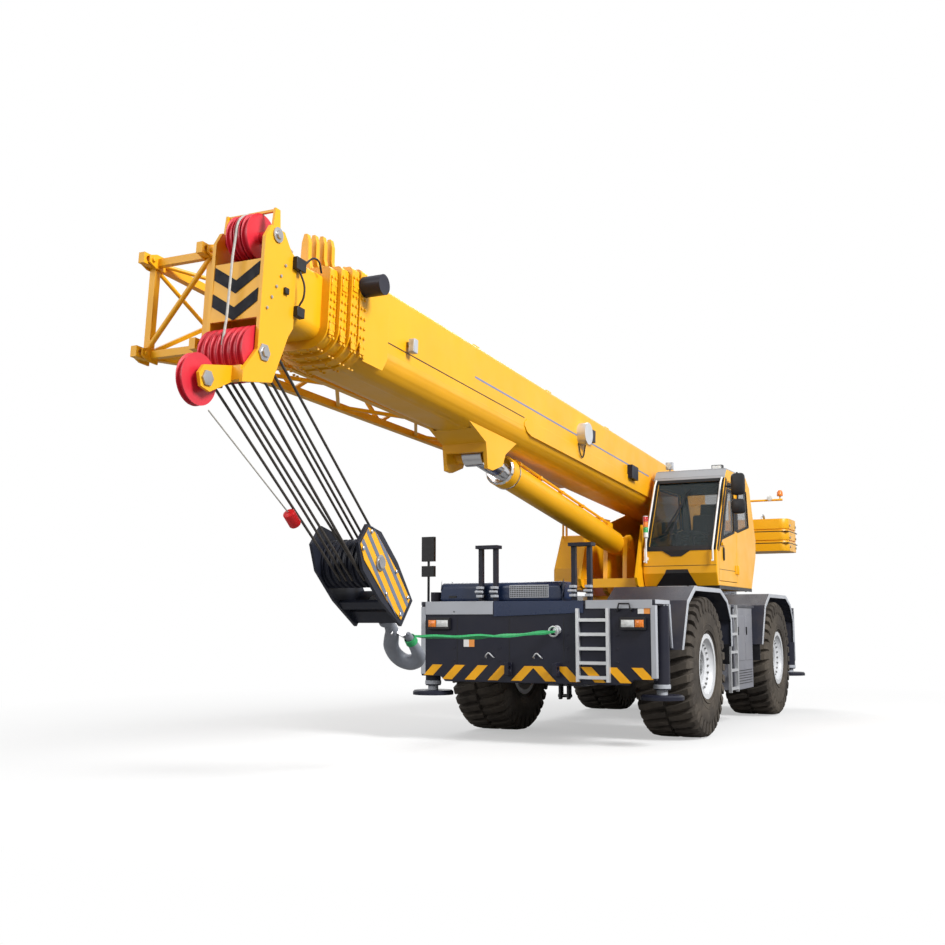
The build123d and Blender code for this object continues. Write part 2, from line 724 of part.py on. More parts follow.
CAB_SIDE = [
    (1000, CAB_FLOOR),
    (CAB_NOSE, CAB_FLOOR + 170),
    (CAB_NOSE, SCREEN_SILL),
    (SCREEN_TOP_X, SCREEN_HEAD),
    (SCREEN_TOP_X - 100, CAB_ROOF),
    (-700, CAB_ROOF),
    (-900, 3380),
    (-1230, 2600),
    (-1200, 2350),
    (-900, CAB_FLOOR),
]
DOOR = [(DOOR_REAR, 1950), (940, 1950), (960, 2320), (415, 3330), (DOOR_REAR, 3330)]
DOOR_WINDOW = [(DOOR_REAR + 90, 2630), (760, 2500), (395, 3230), (DOOR_REAR + 90, 3230)]
QUARTER = [(DOOR_REAR - 90, 2650), (DOOR_REAR - 90, 3290), (-700, 3290), (-800, 2770)]
RIGHT_WINDOW = [(-800, 2770), (760, 2500), (400, 3290), (-700, 3290)]
SCREEN_LOW = SCREEN_SILL + 60
SCREEN_HIGH = SCREEN_HEAD - 70
SCREEN_IN = CAB_IN + 80
SCREEN_OUT = CAB_OUT - 80
BACK_LOW = 2760
BACK_HIGH = 3300


def inset(points, by):
    """Outline moved inward by this much."""
    with BuildSketch(mode=Mode.PRIVATE) as ring:
        with BuildLine():
            Polyline(*points, close=True)
        make_face()
        offset(amount=-by, mode=Mode.REPLACE, kind=Kind.INTERSECTION)
    return ring.sketch


def pane(points, y, thick):
    """Sheet of glass standing in an opening of this outline."""
    with BuildSketch(side_plane(y)) as sheet:
        add(inset(points, FIT))
    extrude(sheet.sketch, amount=-thick)


# Hollow cab with cut windows and the door opening
with BuildPart() as cab_shell:
    slab(CAB_SIDE, side_plane(CAB_IN), CAB_OUT - CAB_IN)
    with BuildSketch(side_plane(CAB_IN + CAB_WALL)):
        add(inset(CAB_SIDE, CAB_WALL))
    extrude(amount=-(CAB_OUT - CAB_IN - 2 * CAB_WALL), mode=Mode.SUBTRACT)
    with BuildSketch(side_plane(CAB_OUT - CAB_WALL - 1)):
        add(inset(DOOR, -DOOR_GAP))
    extrude(amount=-CAB_WALL - 2, mode=Mode.SUBTRACT)
    slab(QUARTER, side_plane(CAB_OUT - CAB_WALL - 1), CAB_WALL + 2, Mode.SUBTRACT)
    slab(RIGHT_WINDOW, side_plane(CAB_IN - 1), CAB_WALL + 2, Mode.SUBTRACT)
    with Locations((800, (SCREEN_IN + SCREEN_OUT) / 2, (SCREEN_LOW + SCREEN_HIGH) / 2)):
        Box(1000, SCREEN_OUT - SCREEN_IN, SCREEN_HIGH - SCREEN_LOW, mode=Mode.SUBTRACT)
    with Locations((-1000, (SCREEN_IN + SCREEN_OUT) / 2, (BACK_LOW + BACK_HIGH) / 2)):
        Box(600, SCREEN_OUT - SCREEN_IN, BACK_HIGH - BACK_LOW, mode=Mode.SUBTRACT)
write(cab_shell, "cab_shell")

# Fixed panes of the cab
with BuildPart() as cab_glass:
    low = SCREEN_LOW + FIT
    high = SCREEN_HIGH - FIT
    screen = [
        (screen_x(low) - 32, low),
        (screen_x(low) - 16, low),
        (screen_x(high) - 16, high),
        (screen_x(high) - 32, high),
    ]
    slab(screen, side_plane(SCREEN_IN + FIT), SCREEN_OUT - SCREEN_IN - 2 * FIT)
    low = BACK_LOW + FIT
    high = BACK_HIGH - FIT
    back = [
        (back_x(low) + 32, low),
        (back_x(low) + 16, low),
        (back_x(high) + 16, high),
        (back_x(high) + 32, high),
    ]
    slab(back, side_plane(SCREEN_IN + FIT), SCREEN_OUT - SCREEN_IN - 2 * FIT)
    pane(QUARTER, CAB_OUT - GLASS_THICK - 6, GLASS_THICK)
    pane(RIGHT_WINDOW, CAB_IN + 6, GLASS_THICK)
write(cab_glass, "cab_glass")

# Operator seat
with BuildPart() as cab_seat:
    seat_y = (CAB_IN + CAB_OUT) / 2
    seat_floor = CAB_FLOOR + CAB_WALL
    with Locations((-250, seat_y, seat_floor + 150)):
        Box(360, 360, 300)
    with Locations((-230, seat_y, seat_floor + 360)):
        cushion = Box(520, 520, 130)
    fillet(cushion.edges().filter_by(Axis.Y), 40)
    rest = [(-460, seat_floor + 380), (-330, seat_floor + 380), (-480, seat_floor + 1040), (-600, seat_floor + 1040)]
    slab(rest, side_plane(seat_y - 240), 480)
write(cab_seat, "cab_seat")

# Consoles, levers, steering column and wheel
with BuildPart() as cab_controls:
    for y in (seat_y - 385, seat_y + 285):
        slab(
            [(-450, seat_floor), (150, seat_floor), (200, seat_floor + 520), (-450, seat_floor + 560)],
            side_plane(y),
            100,
        )
        with Locations((110, y + 50, seat_floor + 600)):
            Cylinder(22, 190)
    column_low = (620, seat_y, seat_floor - 5)
    column_high = (420, seat_y, seat_floor + 640)
    strut(column_low, column_high, 70)
    rake = Vector(*column_high) - Vector(*column_low)
    with BuildSketch(Plane(origin=column_high, x_dir=(0, 1, 0), z_dir=rake)):
        Circle(205)
        Circle(180, mode=Mode.SUBTRACT)
        Rectangle(400, 36)
        Circle(60)
    extrude(amount=28)
    with Locations((620, seat_y, seat_floor - 10)):
        Box(400, 400, 20, mode=Mode.SUBTRACT)
write(cab_controls, "cab_controls")

# Mirrors, stack light and roof lamp of the cab
with BuildPart() as cab_fittings:
    with Locations((520, CAB_OUT + 115, 3250)):
        Box(26, 230, 26)
    with Locations((655, CAB_OUT + 230, 3250)):
        Box(296, 26, 26)
    with Locations((790, CAB_OUT + 230, 3120)):
        Box(26, 26, 560)
    with Locations((800, CAB_OUT + 240, 3240)):
        Box(50, 190, 300)
    with Locations((800, CAB_OUT + 240, 2940)):
        Box(50, 190, 200)
    with Locations((CAB_NOSE + 20, CAB_IN + 60, 2250)):
        Box(40, 40, 40)
    with Locations((CAB_NOSE + 40, CAB_IN + 60, 2400)):
        Cylinder(14, 420)
    with Locations((CAB_NOSE + 40, CAB_IN + 60, 2680)):
        Cylinder(34, 300)
    with Locations((200, CAB_OUT - 180, CAB_ROOF + 45)):
        Box(90, 150, 90)
write(cab_fittings, "cab_fittings")

# Cab door hinged at its rear edge, and its pane
with BuildPart() as cab_door:
    slab(DOOR, side_plane(CAB_OUT - CAB_WALL), CAB_WALL)
    slab(DOOR_WINDOW, side_plane(CAB_OUT - CAB_WALL - 1), CAB_WALL + 2, Mode.SUBTRACT)
    with Locations((760, CAB_OUT + 14, 2440)):
        Box(150, 30, 40)
    for z in (2120, 3180):
        with Locations((DOOR_REAR, HINGE_Y, z)):
            Cylinder(HINGE_RADIUS, 130)
        with Locations((DOOR_REAR + 50, CAB_OUT + 6, z)):
            Box(100, 13, 110)
write(cab_door, "cab_door")

with BuildPart() as door_glass:
    pane(DOOR_WINDOW, CAB_OUT - GLASS_THICK - 6, GLASS_THICK)
write(door_glass, "door_glass")

# Lift cylinder
with BuildPart() as lift_cylinder_barrel:
    with BuildSketch(RAM.offset(60)):
        Circle(BARREL_RADIUS)
    extrude(amount=GLAND_AT - 60)
    with BuildSketch(RAM.offset(GLAND_AT - 140)):
        Circle(BARREL_RADIUS + 22)
    extrude(amount=140)
    with BuildSketch(RAM.offset(260)):
        Circle(ROD_RADIUS + FIT)
    extrude(amount=GLAND_AT, mode=Mode.SUBTRACT)
    with Locations((LOWER_PIN[0], 0, LOWER_PIN[1])):
        Box(460, 900, 520, mode=Mode.SUBTRACT)
    cross_pin(LOWER_PIN[0], LOWER_PIN[1], EYE_RADIUS, EYE_WIDTH / 2)
    with BuildSketch(RAM):
        Rectangle(EYE_WIDTH - 40, EYE_RADIUS * 1.6)
    extrude(amount=330)
    cross_pin(LOWER_PIN[0], LOWER_PIN[1], PIN_RADIUS, EYE_WIDTH / 2 + 70)
write(lift_cylinder_barrel, "lift_cylinder_barrel")

with BuildPart() as lift_cylinder_rod:
    with BuildSketch(RAM.offset(420)):
        Circle(ROD_RADIUS)
    extrude(amount=RAM_LENGTH - 420)
    cross_pin(UPPER_PIN[0], UPPER_PIN[1], EYE_RADIUS, EYE_WIDTH / 2)
write(lift_cylinder_rod, "lift_cylinder_rod")

# Boom base section with foot, cylinder bracket and front collar
with BuildPart() as boom_base:
    outer = section_size(0)
    tube(BOOM_TAIL, BOOM_FRONT - BOOM_TAIL, outer, grown(outer, -BOOM_WALL))
    tube(BOOM_FRONT - COLLAR_LENGTH, COLLAR_LENGTH, grown(outer, COLLAR_RIM), grown(section_size(1), FIT))
    cross_pin(PIVOT_X, PIVOT_Z, 160, BOOM_WIDTH / 2)
    cross_pin(PIVOT_X, PIVOT_Z, PIVOT_PIN, PLATE_OUT)
    pin_u = BOOM.to_local_coords(Vector(UPPER_PIN[0], 0, UPPER_PIN[1])).X
    pin_v = BOOM.to_local_coords(Vector(UPPER_PIN[0], 0, UPPER_PIN[1])).Z
    belly_v = BOOM_CENTRE - BOOM_HEIGHT / 2 + BRACKET_SINK
    bracket = [
        (pin_u - 470, belly_v),
        (pin_u - 190, pin_v + 20),
        (pin_u - 130, pin_v - 110),
        (pin_u + 110, pin_v - 205),
        (pin_u + 235, pin_v - 205),
        (pin_u + 290, pin_v + 60),
        (pin_u + 700, belly_v),
    ]
    for start in (BRACKET_IN, -BRACKET_IN - BRACKET_THICK):
        slab(bracket, boom_side(start), BRACKET_THICK)
    cover = [
        (pin_u + 225, pin_v - 30),
        (pin_u + 270, pin_v - 30),
        (pin_u + 290, pin_v + 60),
        (pin_u + 560, BOOM_CENTRE - BOOM_HEIGHT / 2 + 6),
        (pin_u + 500, BOOM_CENTRE - BOOM_HEIGHT / 2 + 6),
        (pin_u + 250, pin_v + 75),
    ]
    slab(cover, boom_side(-BRACKET_IN - 5), 2 * BRACKET_IN + 10)
    for start in (EYE_WIDTH / 2 + CLEAR, -BRACKET_IN - 5):
        with BuildSketch(boom_side(start)):
            with Locations((pin_u, pin_v)):
                Circle(PIN_RADIUS + 20)
        extrude(amount=-(BRACKET_IN + 5 - EYE_WIDTH / 2 - CLEAR))
    with BuildSketch(boom_cross(BOOM_TAIL + BOOM_WALL)):
        add(boom_profile(*grown(outer, -BOOM_WALL / 2)))
    extrude(amount=-BOOM_WALL)
    fin(BOOM_FRONT - 40, BOOM_CENTRE + BOOM_HEIGHT / 2 + COLLAR_RIM)
write(boom_base, "boom_base")

# Telescopic sections, each with its collar and rope-guide fin
for index in (1, 2, 3):
    outer = section_size(index)
    front = BOOM_FRONT + index * COLLAR_STEP
    with BuildPart() as section:
        tube(SECTION_TAIL, front - SECTION_TAIL, outer, grown(outer, -BOOM_WALL))
        tube(front - COLLAR_LENGTH, COLLAR_LENGTH, grown(outer, BOOM_STEP / 2 + COLLAR_RIM - 14), grown(section_size(index + 1), FIT))
        fin(front - 40, BOOM_CENTRE + outer[1] / 2 + BOOM_STEP / 2 + COLLAR_RIM - 14)
    write(section, "boom_section_" + str(index + 1))

# Head section: side plates, front plate, top sheave frame and nose bracket
with BuildPart() as boom_section_5:
    outer = section_size(4)
    tube(SECTION_TAIL, HEAD_START + 10 - SECTION_TAIL, outer, grown(outer, -BOOM_WALL))
    with BuildSketch(boom_cross(HEAD_START)):
        with Locations((0, 30)):
            Rectangle(2 * HEAD_PLATE_IN + 2 * HEAD_PLATE, 440)
    extrude(amount=110)
    cheek = [
        (HEAD_START - 60, 400),
        (HEAD_START + 20, 440),
        (HEAD_START + 120, 560),
        (HEAD_START + 290, 560),
        (HEAD_START + 355, 450),
        (HEAD_START + 365, -440),
        (HEAD_START + 520, -640),
        (HEAD_START + 520, -730),
        (HEAD_START + 165, -650),
        (HEAD_START - 5, -240),
        (HEAD_START - 60, -160),
    ]
    for start in (HEAD_PLATE_IN, -HEAD_PLATE_IN - HEAD_PLATE):
        slab(cheek, boom_side(start), HEAD_PLATE)
    front_plate = [
        (HEAD_START + 325, 275),
        (HEAD_START + 350, 275),
        (HEAD_START + 362, -190),
        (HEAD_START + 337, -190),
    ]
    slab(front_plate, boom_side(-HEAD_PLATE_IN - 5), 2 * HEAD_PLATE_IN + 10)
    post = [
        (TOP_SHEAVE_U - 60, 440),
        (TOP_SHEAVE_U - 30, TOP_SHEAVE_V + 215),
        (TOP_SHEAVE_U + 30, TOP_SHEAVE_V + 215),
        (TOP_SHEAVE_U + 60, 440),
    ]
    for start in (HEAD_PLATE_IN, -HEAD_PLATE_IN - 20):
        slab(post, boom_side(start), 20)
    with BuildSketch(boom_side(-HEAD_PLATE_IN - 20)):
        with Locations((TOP_SHEAVE_U, TOP_SHEAVE_V + 205)):
            Rectangle(24, 20)
    extrude(amount=-(2 * HEAD_PLATE_IN + 40))
    with BuildSketch(boom_side(-HEAD_PLATE_IN - 5)):
        with Locations((HEAD_START + 485, -655)):
            Rectangle(60, 110)
    extrude(amount=-(2 * HEAD_PLATE_IN + 10))
    nose = [
        (HEAD_START + 470, -600),
        (HEAD_START + 470, -700),
        (NOSE_U - 40, NOSE_V - 90),
        (NOSE_U + 60, NOSE_V - 70),
        (NOSE_U + 90, NOSE_V + 20),
        (NOSE_U + 40, NOSE_V + 90),
        (HEAD_START + 515, -600),
    ]
    for start in (NOSE_Y + NOSE_HALF, NOSE_Y - NOSE_HALF - 25):
        slab(nose, boom_side(start), 25)
write(boom_section_5, "boom_section_5")


def sheave_row(u, v, radius, count, pitch, half, shift=0.0):
    """Grooved sheaves turned in one piece with their shaft."""
    at = BOOM.from_local_coords((u, shift, v))
    with BuildSketch(Plane(origin=at, x_dir=(0, 1, 0), z_dir=BOOM.x_dir)) as profile:
        with BuildLine():
            points = [(-half, 0), (-half, 45)]
            for number in range(count):
                y = (number - (count - 1) / 2) * pitch
                points += [
                    (y - SHEAVE_HALF, 45),
                    (y - SHEAVE_HALF, radius),
                    (y - SHEAVE_HALF + 7, radius),
                    (y - 12, radius - GROOVE_DEPTH),
                    (y + 12, radius - GROOVE_DEPTH),
                    (y + SHEAVE_HALF - 7, radius),
                    (y + SHEAVE_HALF, radius),
                    (y + SHEAVE_HALF, 45),
                ]
            points += [(half, 45), (half, 0)]
            Polyline(*points, close=True)
        make_face()
    revolve(profile.sketch, axis=Axis(at, (0, 1, 0)))


with BuildPart() as head_sheaves:
    sheave_row(SHEAVE_U, SHEAVE_V, SHEAVE_RADIUS, 7, SHEAVE_PITCH, HEAD_PLATE_IN)
    sheave_row(TOP_SHEAVE_U, TOP_SHEAVE_V, TOP_SHEAVE_RADIUS, 3, 72, HEAD_PLATE_IN)
    sheave_row(NOSE_U, NOSE_V, NOSE_RADIUS, 1, SHEAVE_PITCH, NOSE_HALF, NOSE_Y)
write(head_sheaves, "head_sheaves")

# Lattice jib stowed beside the boom
with BuildPart() as lattice_jib:

    def jib_corner(part, across, up):
        """Chord centre at this fraction from base to tip, in world coordinates."""
        u = JIB_BASE_U + (JIB_TIP_U - JIB_BASE_U) * part
        if part < JIB_NECK:
            share = part / JIB_NECK
            start = (JIB_LOW, JIB_WIDTH, JIB_HEIGHT)
            end = (JIB_NECK_LOW, JIB_NECK_WIDTH, JIB_NECK_HEIGHT)
        else:
            share = (part - JIB_NECK) / (1 - JIB_NECK)
            start = (JIB_NECK_LOW, JIB_NECK_WIDTH, JIB_NECK_HEIGHT)
            end = (JIB_TIP_LOW, JIB_TIP_SIZE, JIB_TIP_SIZE)
        low, wide, tall = (a + (b - a) * share for a, b in zip(start, end))
        return BOOM.from_local_coords((u, JIB_NEAR - wide * across, low + tall * up))

    for across in (0, 1):
        for up in (0, 1):
            strut(jib_corner(0, across, up), jib_corner(JIB_NECK + 0.003, across, up), JIB_CHORD)
            strut(jib_corner(JIB_NECK - 0.003, across, up), jib_corner(1, across, up), JIB_CHORD)
    bays = [0] + [JIB_NECK + (1 - JIB_NECK) * n / JIB_BAYS for n in range(JIB_BAYS + 1)]
    for bay in range(JIB_BAYS + 1):
        here = bays[bay]
        there = bays[bay + 1]
        flip = bay % 2
        for up in (0, 1):
            strut(jib_corner(here, flip, up), jib_corner(there, 1 - flip, up), JIB_BRACE)
        for across in (0, 1):
            strut(jib_corner(here, across, flip), jib_corner(there, across, 1 - flip), JIB_BRACE)
    for part in (0.005, JIB_NECK, 0.995):
        for fixed in (0, 1):
            strut(jib_corner(part, 0, fixed), jib_corner(part, 1, fixed), JIB_CHORD - 10)
            strut(jib_corner(part, fixed, 0), jib_corner(part, fixed, 1), JIB_CHORD - 10)
    for across in (0, 1):
        for up in (0, 1):
            tip = BOOM.to_local_coords(jib_corner(0, across, up))
            with BuildSketch(boom_side(tip.Y - 30)):
                with Locations((tip.X + 60, tip.Z)):
                    Rectangle(150, 90)
                with Locations((tip.X + 85, tip.Z)):
                    Circle(25, mode=Mode.SUBTRACT)
            extrude(amount=-60)
    for part in (0.18, 0.72):
        chord = BOOM.to_local_coords(jib_corner(part, 0, 1))
        with Locations(BOOM.location * Location((chord.X, (JIB_NEAR - BOOM_WIDTH / 2) / 2, chord.Z))):
            Box(160, -JIB_NEAR - BOOM_WIDTH / 2, 60)
    tail_u = JIB_TIP_U - 900
    with Locations(BOOM.location * Location(((tail_u + JIB_TIP_U + 120) / 2, JIB_NEAR - JIB_TIP_SIZE / 2, JIB_TIP_LOW + JIB_TIP_SIZE / 2))):
        Box(JIB_TIP_U + 120 - tail_u, JIB_TIP_SIZE - 60, JIB_TIP_SIZE - 60)
write(lattice_jib, "lattice_jib")

# Reel, boxes and drum on the boom's left side
with BuildPart() as boom_fittings:
    left = BOOM_WIDTH / 2
    for u, v, radius, near, deep in ((5480, 255, 135, 0, 110), (10560, 430, 88, COLLAR_RIM, 190)):
        with BuildSketch(boom_side(left + near)):
            with Locations((u, v)):
                Circle(radius)
        extrude(amount=-deep)
    with BuildSketch(boom_side(left)):
        with Locations((5240, 285)):
            Rectangle(190, 150)
        with Locations((3600, 120)):
            Rectangle(260, 180)
    extrude(amount=-70)
write(boom_fittings, "boom_fittings")

# Ten rope falls between head and block
with BuildPart() as hoist_ropes:
    for y in FALLS:
        for x in (-ROPE_DRAW, ROPE_DRAW):
            with BuildSketch(ROPE):
                with Locations((x, y * SHEAVE_PITCH)):
                    Circle(ROPE_RADIUS)
            extrude(amount=-ROPE_LENGTH)
write(hoist_ropes, "hoist_ropes")

# Hook block: cheeks, sheaves, crosshead
BLOCK = Plane(ROPE.from_local_coords((0, 0, -ROPE_LENGTH)), x_dir=ROPE.x_dir, z_dir=-ROPE.y_dir)
with BuildPart() as hook_block:
    outline = [
        (-110, 360),
        (110, 360),
        (224, 150),
        (224, -230),
        (150, -650),
        (-150, -650),
        (-224, -230),
        (-224, 150),
    ]
    for start in (CHEEK_IN, -CHEEK_IN - CHEEK_THICK):
        with BuildSketch(BLOCK.offset(-start)):
            with BuildLine():
                Polyline(*outline, close=True)
            make_face()
        extrude(amount=-CHEEK_THICK)
    with BuildSketch(Plane(BLOCK.origin, x_dir=(0, 1, 0), z_dir=BLOCK.x_dir)):
        with BuildLine():
            points = [(-CHEEK_IN - 5, 0), (-CHEEK_IN - 5, 60)]
            for number in (-3, -2, -1, 0, 1, 2, 3):
                y = number * SHEAVE_PITCH
                points += [
                    (y - SHEAVE_HALF, 60),
                    (y - SHEAVE_HALF, SHEAVE_RADIUS),
                    (y - SHEAVE_HALF + 7, SHEAVE_RADIUS),
                    (y - 12, SHEAVE_RADIUS - GROOVE_DEPTH),
                    (y + 12, SHEAVE_RADIUS - GROOVE_DEPTH),
                    (y + SHEAVE_HALF - 7, SHEAVE_RADIUS),
                    (y + SHEAVE_HALF, SHEAVE_RADIUS),
                    (y + SHEAVE_HALF, 60),
                ]
            points += [(CHEEK_IN + 5, 60), (CHEEK_IN + 5, 0)]
            Polyline(*points, close=True)
        make_face()
    revolve(axis=Axis(BLOCK.origin, (0, 1, 0)))
    with BuildSketch(BLOCK):
        with Locations((0, -560)):
            Rectangle(250, 150)
        for side in (-1, 1):
            with Locations((side * 180, -330)):
                Rectangle(30, 90)
    extrude(amount=CHEEK_IN + 5, both=True)
    with BuildSketch(ROPE.offset(-ROPE_LENGTH - 440)):
        Circle(SHANK_RADIUS + FIT)
    extrude(amount=-260, mode=Mode.SUBTRACT)
write(hook_block, "hook_block")

# Swivelling hook, its point turned to the left
BOWL = Plane(ROPE.from_local_coords((0, 0, -HOOK_DROP)), x_dir=(0, 1, 0), z_dir=ROPE.x_dir)
HOOK_TOP = HOOK_REACH - 450
with BuildPart() as hook:
    with BuildSketch(Plane(BOWL.from_local_coords((0, HOOK_TOP, 0)), x_dir=BOWL.x_dir, z_dir=-BOWL.y_dir)):
        Circle(SHANK_RADIUS)
    extrude(amount=HOOK_TOP - 2.6 * HOOK_BOWL)
    with BuildLine(BOWL) as spine:
        Spline(
            (0, 2.7 * HOOK_BOWL),
            (-0.25 * HOOK_BOWL, 1.7 * HOOK_BOWL),
            (-HOOK_BOWL, 0.25 * HOOK_BOWL),
            (0, -HOOK_BOWL),
            (HOOK_BOWL, 0),
            (1.05 * HOOK_BOWL, 1.3 * HOOK_BOWL),
            tangents=((0, -1), (0.1, 1)),
        )
    with BuildSketch(Plane(BOWL.from_local_coords((0, 2.7 * HOOK_BOWL, 0)), x_dir=BOWL.x_dir, z_dir=-BOWL.y_dir)):
        Circle(HOOK_STOCK)
    sweep(path=spine.wires()[0])
    with Locations(BOWL.from_local_coords((1.05 * HOOK_BOWL, 1.3 * HOOK_BOWL, 0))):
        Sphere(HOOK_STOCK)
write(hook, "hook")
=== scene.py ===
from math import cos, pi, radians, sin

import bmesh
import bpy
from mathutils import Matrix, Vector


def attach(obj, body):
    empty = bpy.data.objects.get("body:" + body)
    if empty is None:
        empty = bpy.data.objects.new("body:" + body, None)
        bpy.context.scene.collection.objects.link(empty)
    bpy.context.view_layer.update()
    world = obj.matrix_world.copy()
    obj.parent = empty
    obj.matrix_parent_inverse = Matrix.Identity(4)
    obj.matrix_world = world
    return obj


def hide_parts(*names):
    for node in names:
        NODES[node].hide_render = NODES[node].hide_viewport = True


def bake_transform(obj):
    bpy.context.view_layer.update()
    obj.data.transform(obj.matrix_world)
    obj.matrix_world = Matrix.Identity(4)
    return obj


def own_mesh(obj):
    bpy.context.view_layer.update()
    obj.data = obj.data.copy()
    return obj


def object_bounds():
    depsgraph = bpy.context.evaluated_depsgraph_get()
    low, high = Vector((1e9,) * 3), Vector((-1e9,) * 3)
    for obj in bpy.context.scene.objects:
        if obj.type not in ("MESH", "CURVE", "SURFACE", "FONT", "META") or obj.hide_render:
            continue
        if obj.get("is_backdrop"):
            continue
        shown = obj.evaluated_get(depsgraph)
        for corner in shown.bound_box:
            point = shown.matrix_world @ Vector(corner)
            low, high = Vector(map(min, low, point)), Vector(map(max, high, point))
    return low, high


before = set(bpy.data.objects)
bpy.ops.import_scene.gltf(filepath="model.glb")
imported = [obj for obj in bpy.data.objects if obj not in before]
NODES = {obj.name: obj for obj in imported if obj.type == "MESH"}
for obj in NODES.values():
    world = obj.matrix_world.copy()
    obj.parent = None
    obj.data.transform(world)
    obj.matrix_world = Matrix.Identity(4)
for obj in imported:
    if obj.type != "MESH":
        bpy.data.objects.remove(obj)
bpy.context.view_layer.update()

X, Y, Z = Vector((1, 0, 0)), Vector((0, 1, 0)), Vector((0, 0, 1))
BOTH = (-1, 1)
ENDS_AND_SIDES = [(end, side) for end in BOTH for side in BOTH]
CORNERS = {"fl": (1, 1), "fr": (1, -1), "rl": (-1, 1), "rr": (-1, -1)}
SQUARE = ((-1, -1), (1, -1), (1, 1), (-1, 1))

# Axles, end panels and cab walls, in metres
AXLE_X, HUB_Z, WHEEL_Y = 2.05, 0.86, 1.22
PANEL = 3.8375
CAB_IN, CAB_OUT, CAB_MID, CAB_NOSE = 0.43, 1.45, 0.94, 1.06
SCREEN_FOOT = Vector((CAB_NOSE, 0, 2.35))
SCREEN_UP = Vector((-0.58, 0, 1.05)).normalized()
SCREEN_OUT = Vector((SCREEN_UP.z, 0, -SCREEN_UP.x))

# Frames of the boom, the rope falls and the lift cylinder
TILT = radians(3.8)
ALONG = Vector((cos(TILT), 0, sin(TILT)))
RISE = Vector((-sin(TILT), 0, cos(TILT)))
BOOM_AXES = (ALONG, Y, RISE)
FOOT = Vector((-2.3, 0, 3.05))
BOOM_HALF, HEAD_HALF = 0.350, 0.247
LEAN = radians(49)
FALL_UP = Vector((sin(LEAN), 0, cos(LEAN)))
FALL_X = Vector((cos(LEAN), 0, -sin(LEAN)))
FALL_LENGTH, HOIST = 2.26, 1.5
RAM_LOW, RAM_HIGH = Vector((0.8, 0, 2.455)), Vector((5.33, 0, 3.156))
RAM = (RAM_HIGH - RAM_LOW).normalized()
RAM_UP = Vector((-RAM.z, 0, RAM.x))
RAM_AXES = (RAM, Y, RAM_UP)


def boom(u, y, v):
    """Point along the boom from its pivot, to the left and above."""
    return FOOT + ALONG * u + Y * y + RISE * v


HEAD_PIN = boom(11.72, 0, -0.45)


def fall(x, y, drop):
    """Point at a drop along the tied-back ropes."""
    return HEAD_PIN + FALL_X * x + Y * y - FALL_UP * drop


def ram(along, y, up):
    """Point along the lift cylinder."""
    return RAM_LOW + RAM * along + Y * y + RAM_UP * up


def screen(y, t, out=0.0):
    """Point on the raked windscreen face, t metres up it from the nose."""
    return SCREEN_FOOT + Y * y + SCREEN_UP * t + SCREEN_OUT * out


def hub_of(corner):
    end, side = CORNERS[corner]
    return Vector((end * AXLE_X, side * WHEEL_Y, HUB_Z))


def circle(at, u, v, radius, count):
    """Points round a centre in the plane of u and v."""
    at = Vector(at)
    angles = [2 * pi * k / count for k in range(count)]
    return [at + (u * cos(a) + v * sin(a)) * radius for a in angles]


# Materials


def base(name, color, rough=0.5, metal=0.0, coat=0.0):
    """Principled material and its parts."""
    mat = bpy.data.materials.new(name)
    mat.use_nodes = True
    tree = mat.node_tree
    shader = tree.nodes["Principled BSDF"]
    shader.inputs["Base Color"].default_value = (*color, 1)
    shader.inputs["Roughness"].default_value = rough
    shader.inputs["Metallic"].default_value = metal
    shader.inputs["Coat Weight"].default_value = coat
    return mat, tree, shader


def feed(tree, socket, value):
    """Set an input to a value, or link an output to it."""
    if isinstance(value, bpy.types.NodeSocket):
        tree.links.new(value, socket)
    else:
        socket.default_value = value


def node(tree, kind, **inputs):
    """New shader node with its inputs fed; their names have _ for a space."""
    made = tree.nodes.new(kind)
    for key, value in inputs.items():
        feed(tree, made.inputs[key.replace("_", " ")], value)
    return made


def coords(tree, scale):
    """Object coordinates at this scale."""
    place = node(tree, "ShaderNodeTexCoord").outputs["Object"]
    return node(tree, "ShaderNodeMapping", Vector=place, Scale=(scale, scale, scale)).outputs["Vector"]


def split_coords(tree, scale):
    return node(tree, "ShaderNodeSeparateXYZ", Vector=coords(tree, scale)).outputs


def noise(tree, scale, detail=4.0):
    return node(tree, "ShaderNodeTexNoise", Vector=coords(tree, scale), Scale=1.0, Detail=detail).outputs["Fac"]


def ramp(tree, value, low, high):
    """Colour ramp between two (place, colour) stops."""
    made = node(tree, "ShaderNodeValToRGB", Fac=value)
    for element, (at, color) in zip(made.color_ramp.elements, (low, high)):
        element.position = at
        element.color = (*color, 1)
    return made.outputs["Color"]


def math(tree, kind, a, b=0.0):
    """Math node; a and b are sockets or numbers."""
    made = node(tree, "ShaderNodeMath")
    made.operation = kind
    for socket, value in zip(made.inputs, (a, b)):
        feed(tree, socket, value)
    return made.outputs["Value"]


def mix(tree, factor, a, b):
    """Colour mix; a and b are sockets or colours."""
    return node(tree, "ShaderNodeMixRGB", Fac=factor, Color1=a, Color2=b).outputs["Color"]


def bump(tree, shader, value, strength, distance):
    made = node(tree, "ShaderNodeBump", Height=value, Strength=strength, Distance=distance)
    tree.links.new(made.outputs["Normal"], shader.inputs["Normal"])


def facing_up(tree):
    """1 on faces that look up, 0 elsewhere."""
    place = node(tree, "ShaderNodeTexCoord").outputs["Normal"]
    up = node(tree, "ShaderNodeSeparateXYZ", Vector=place).outputs["Z"]
    return math(tree, "GREATER_THAN", up, 0.75)


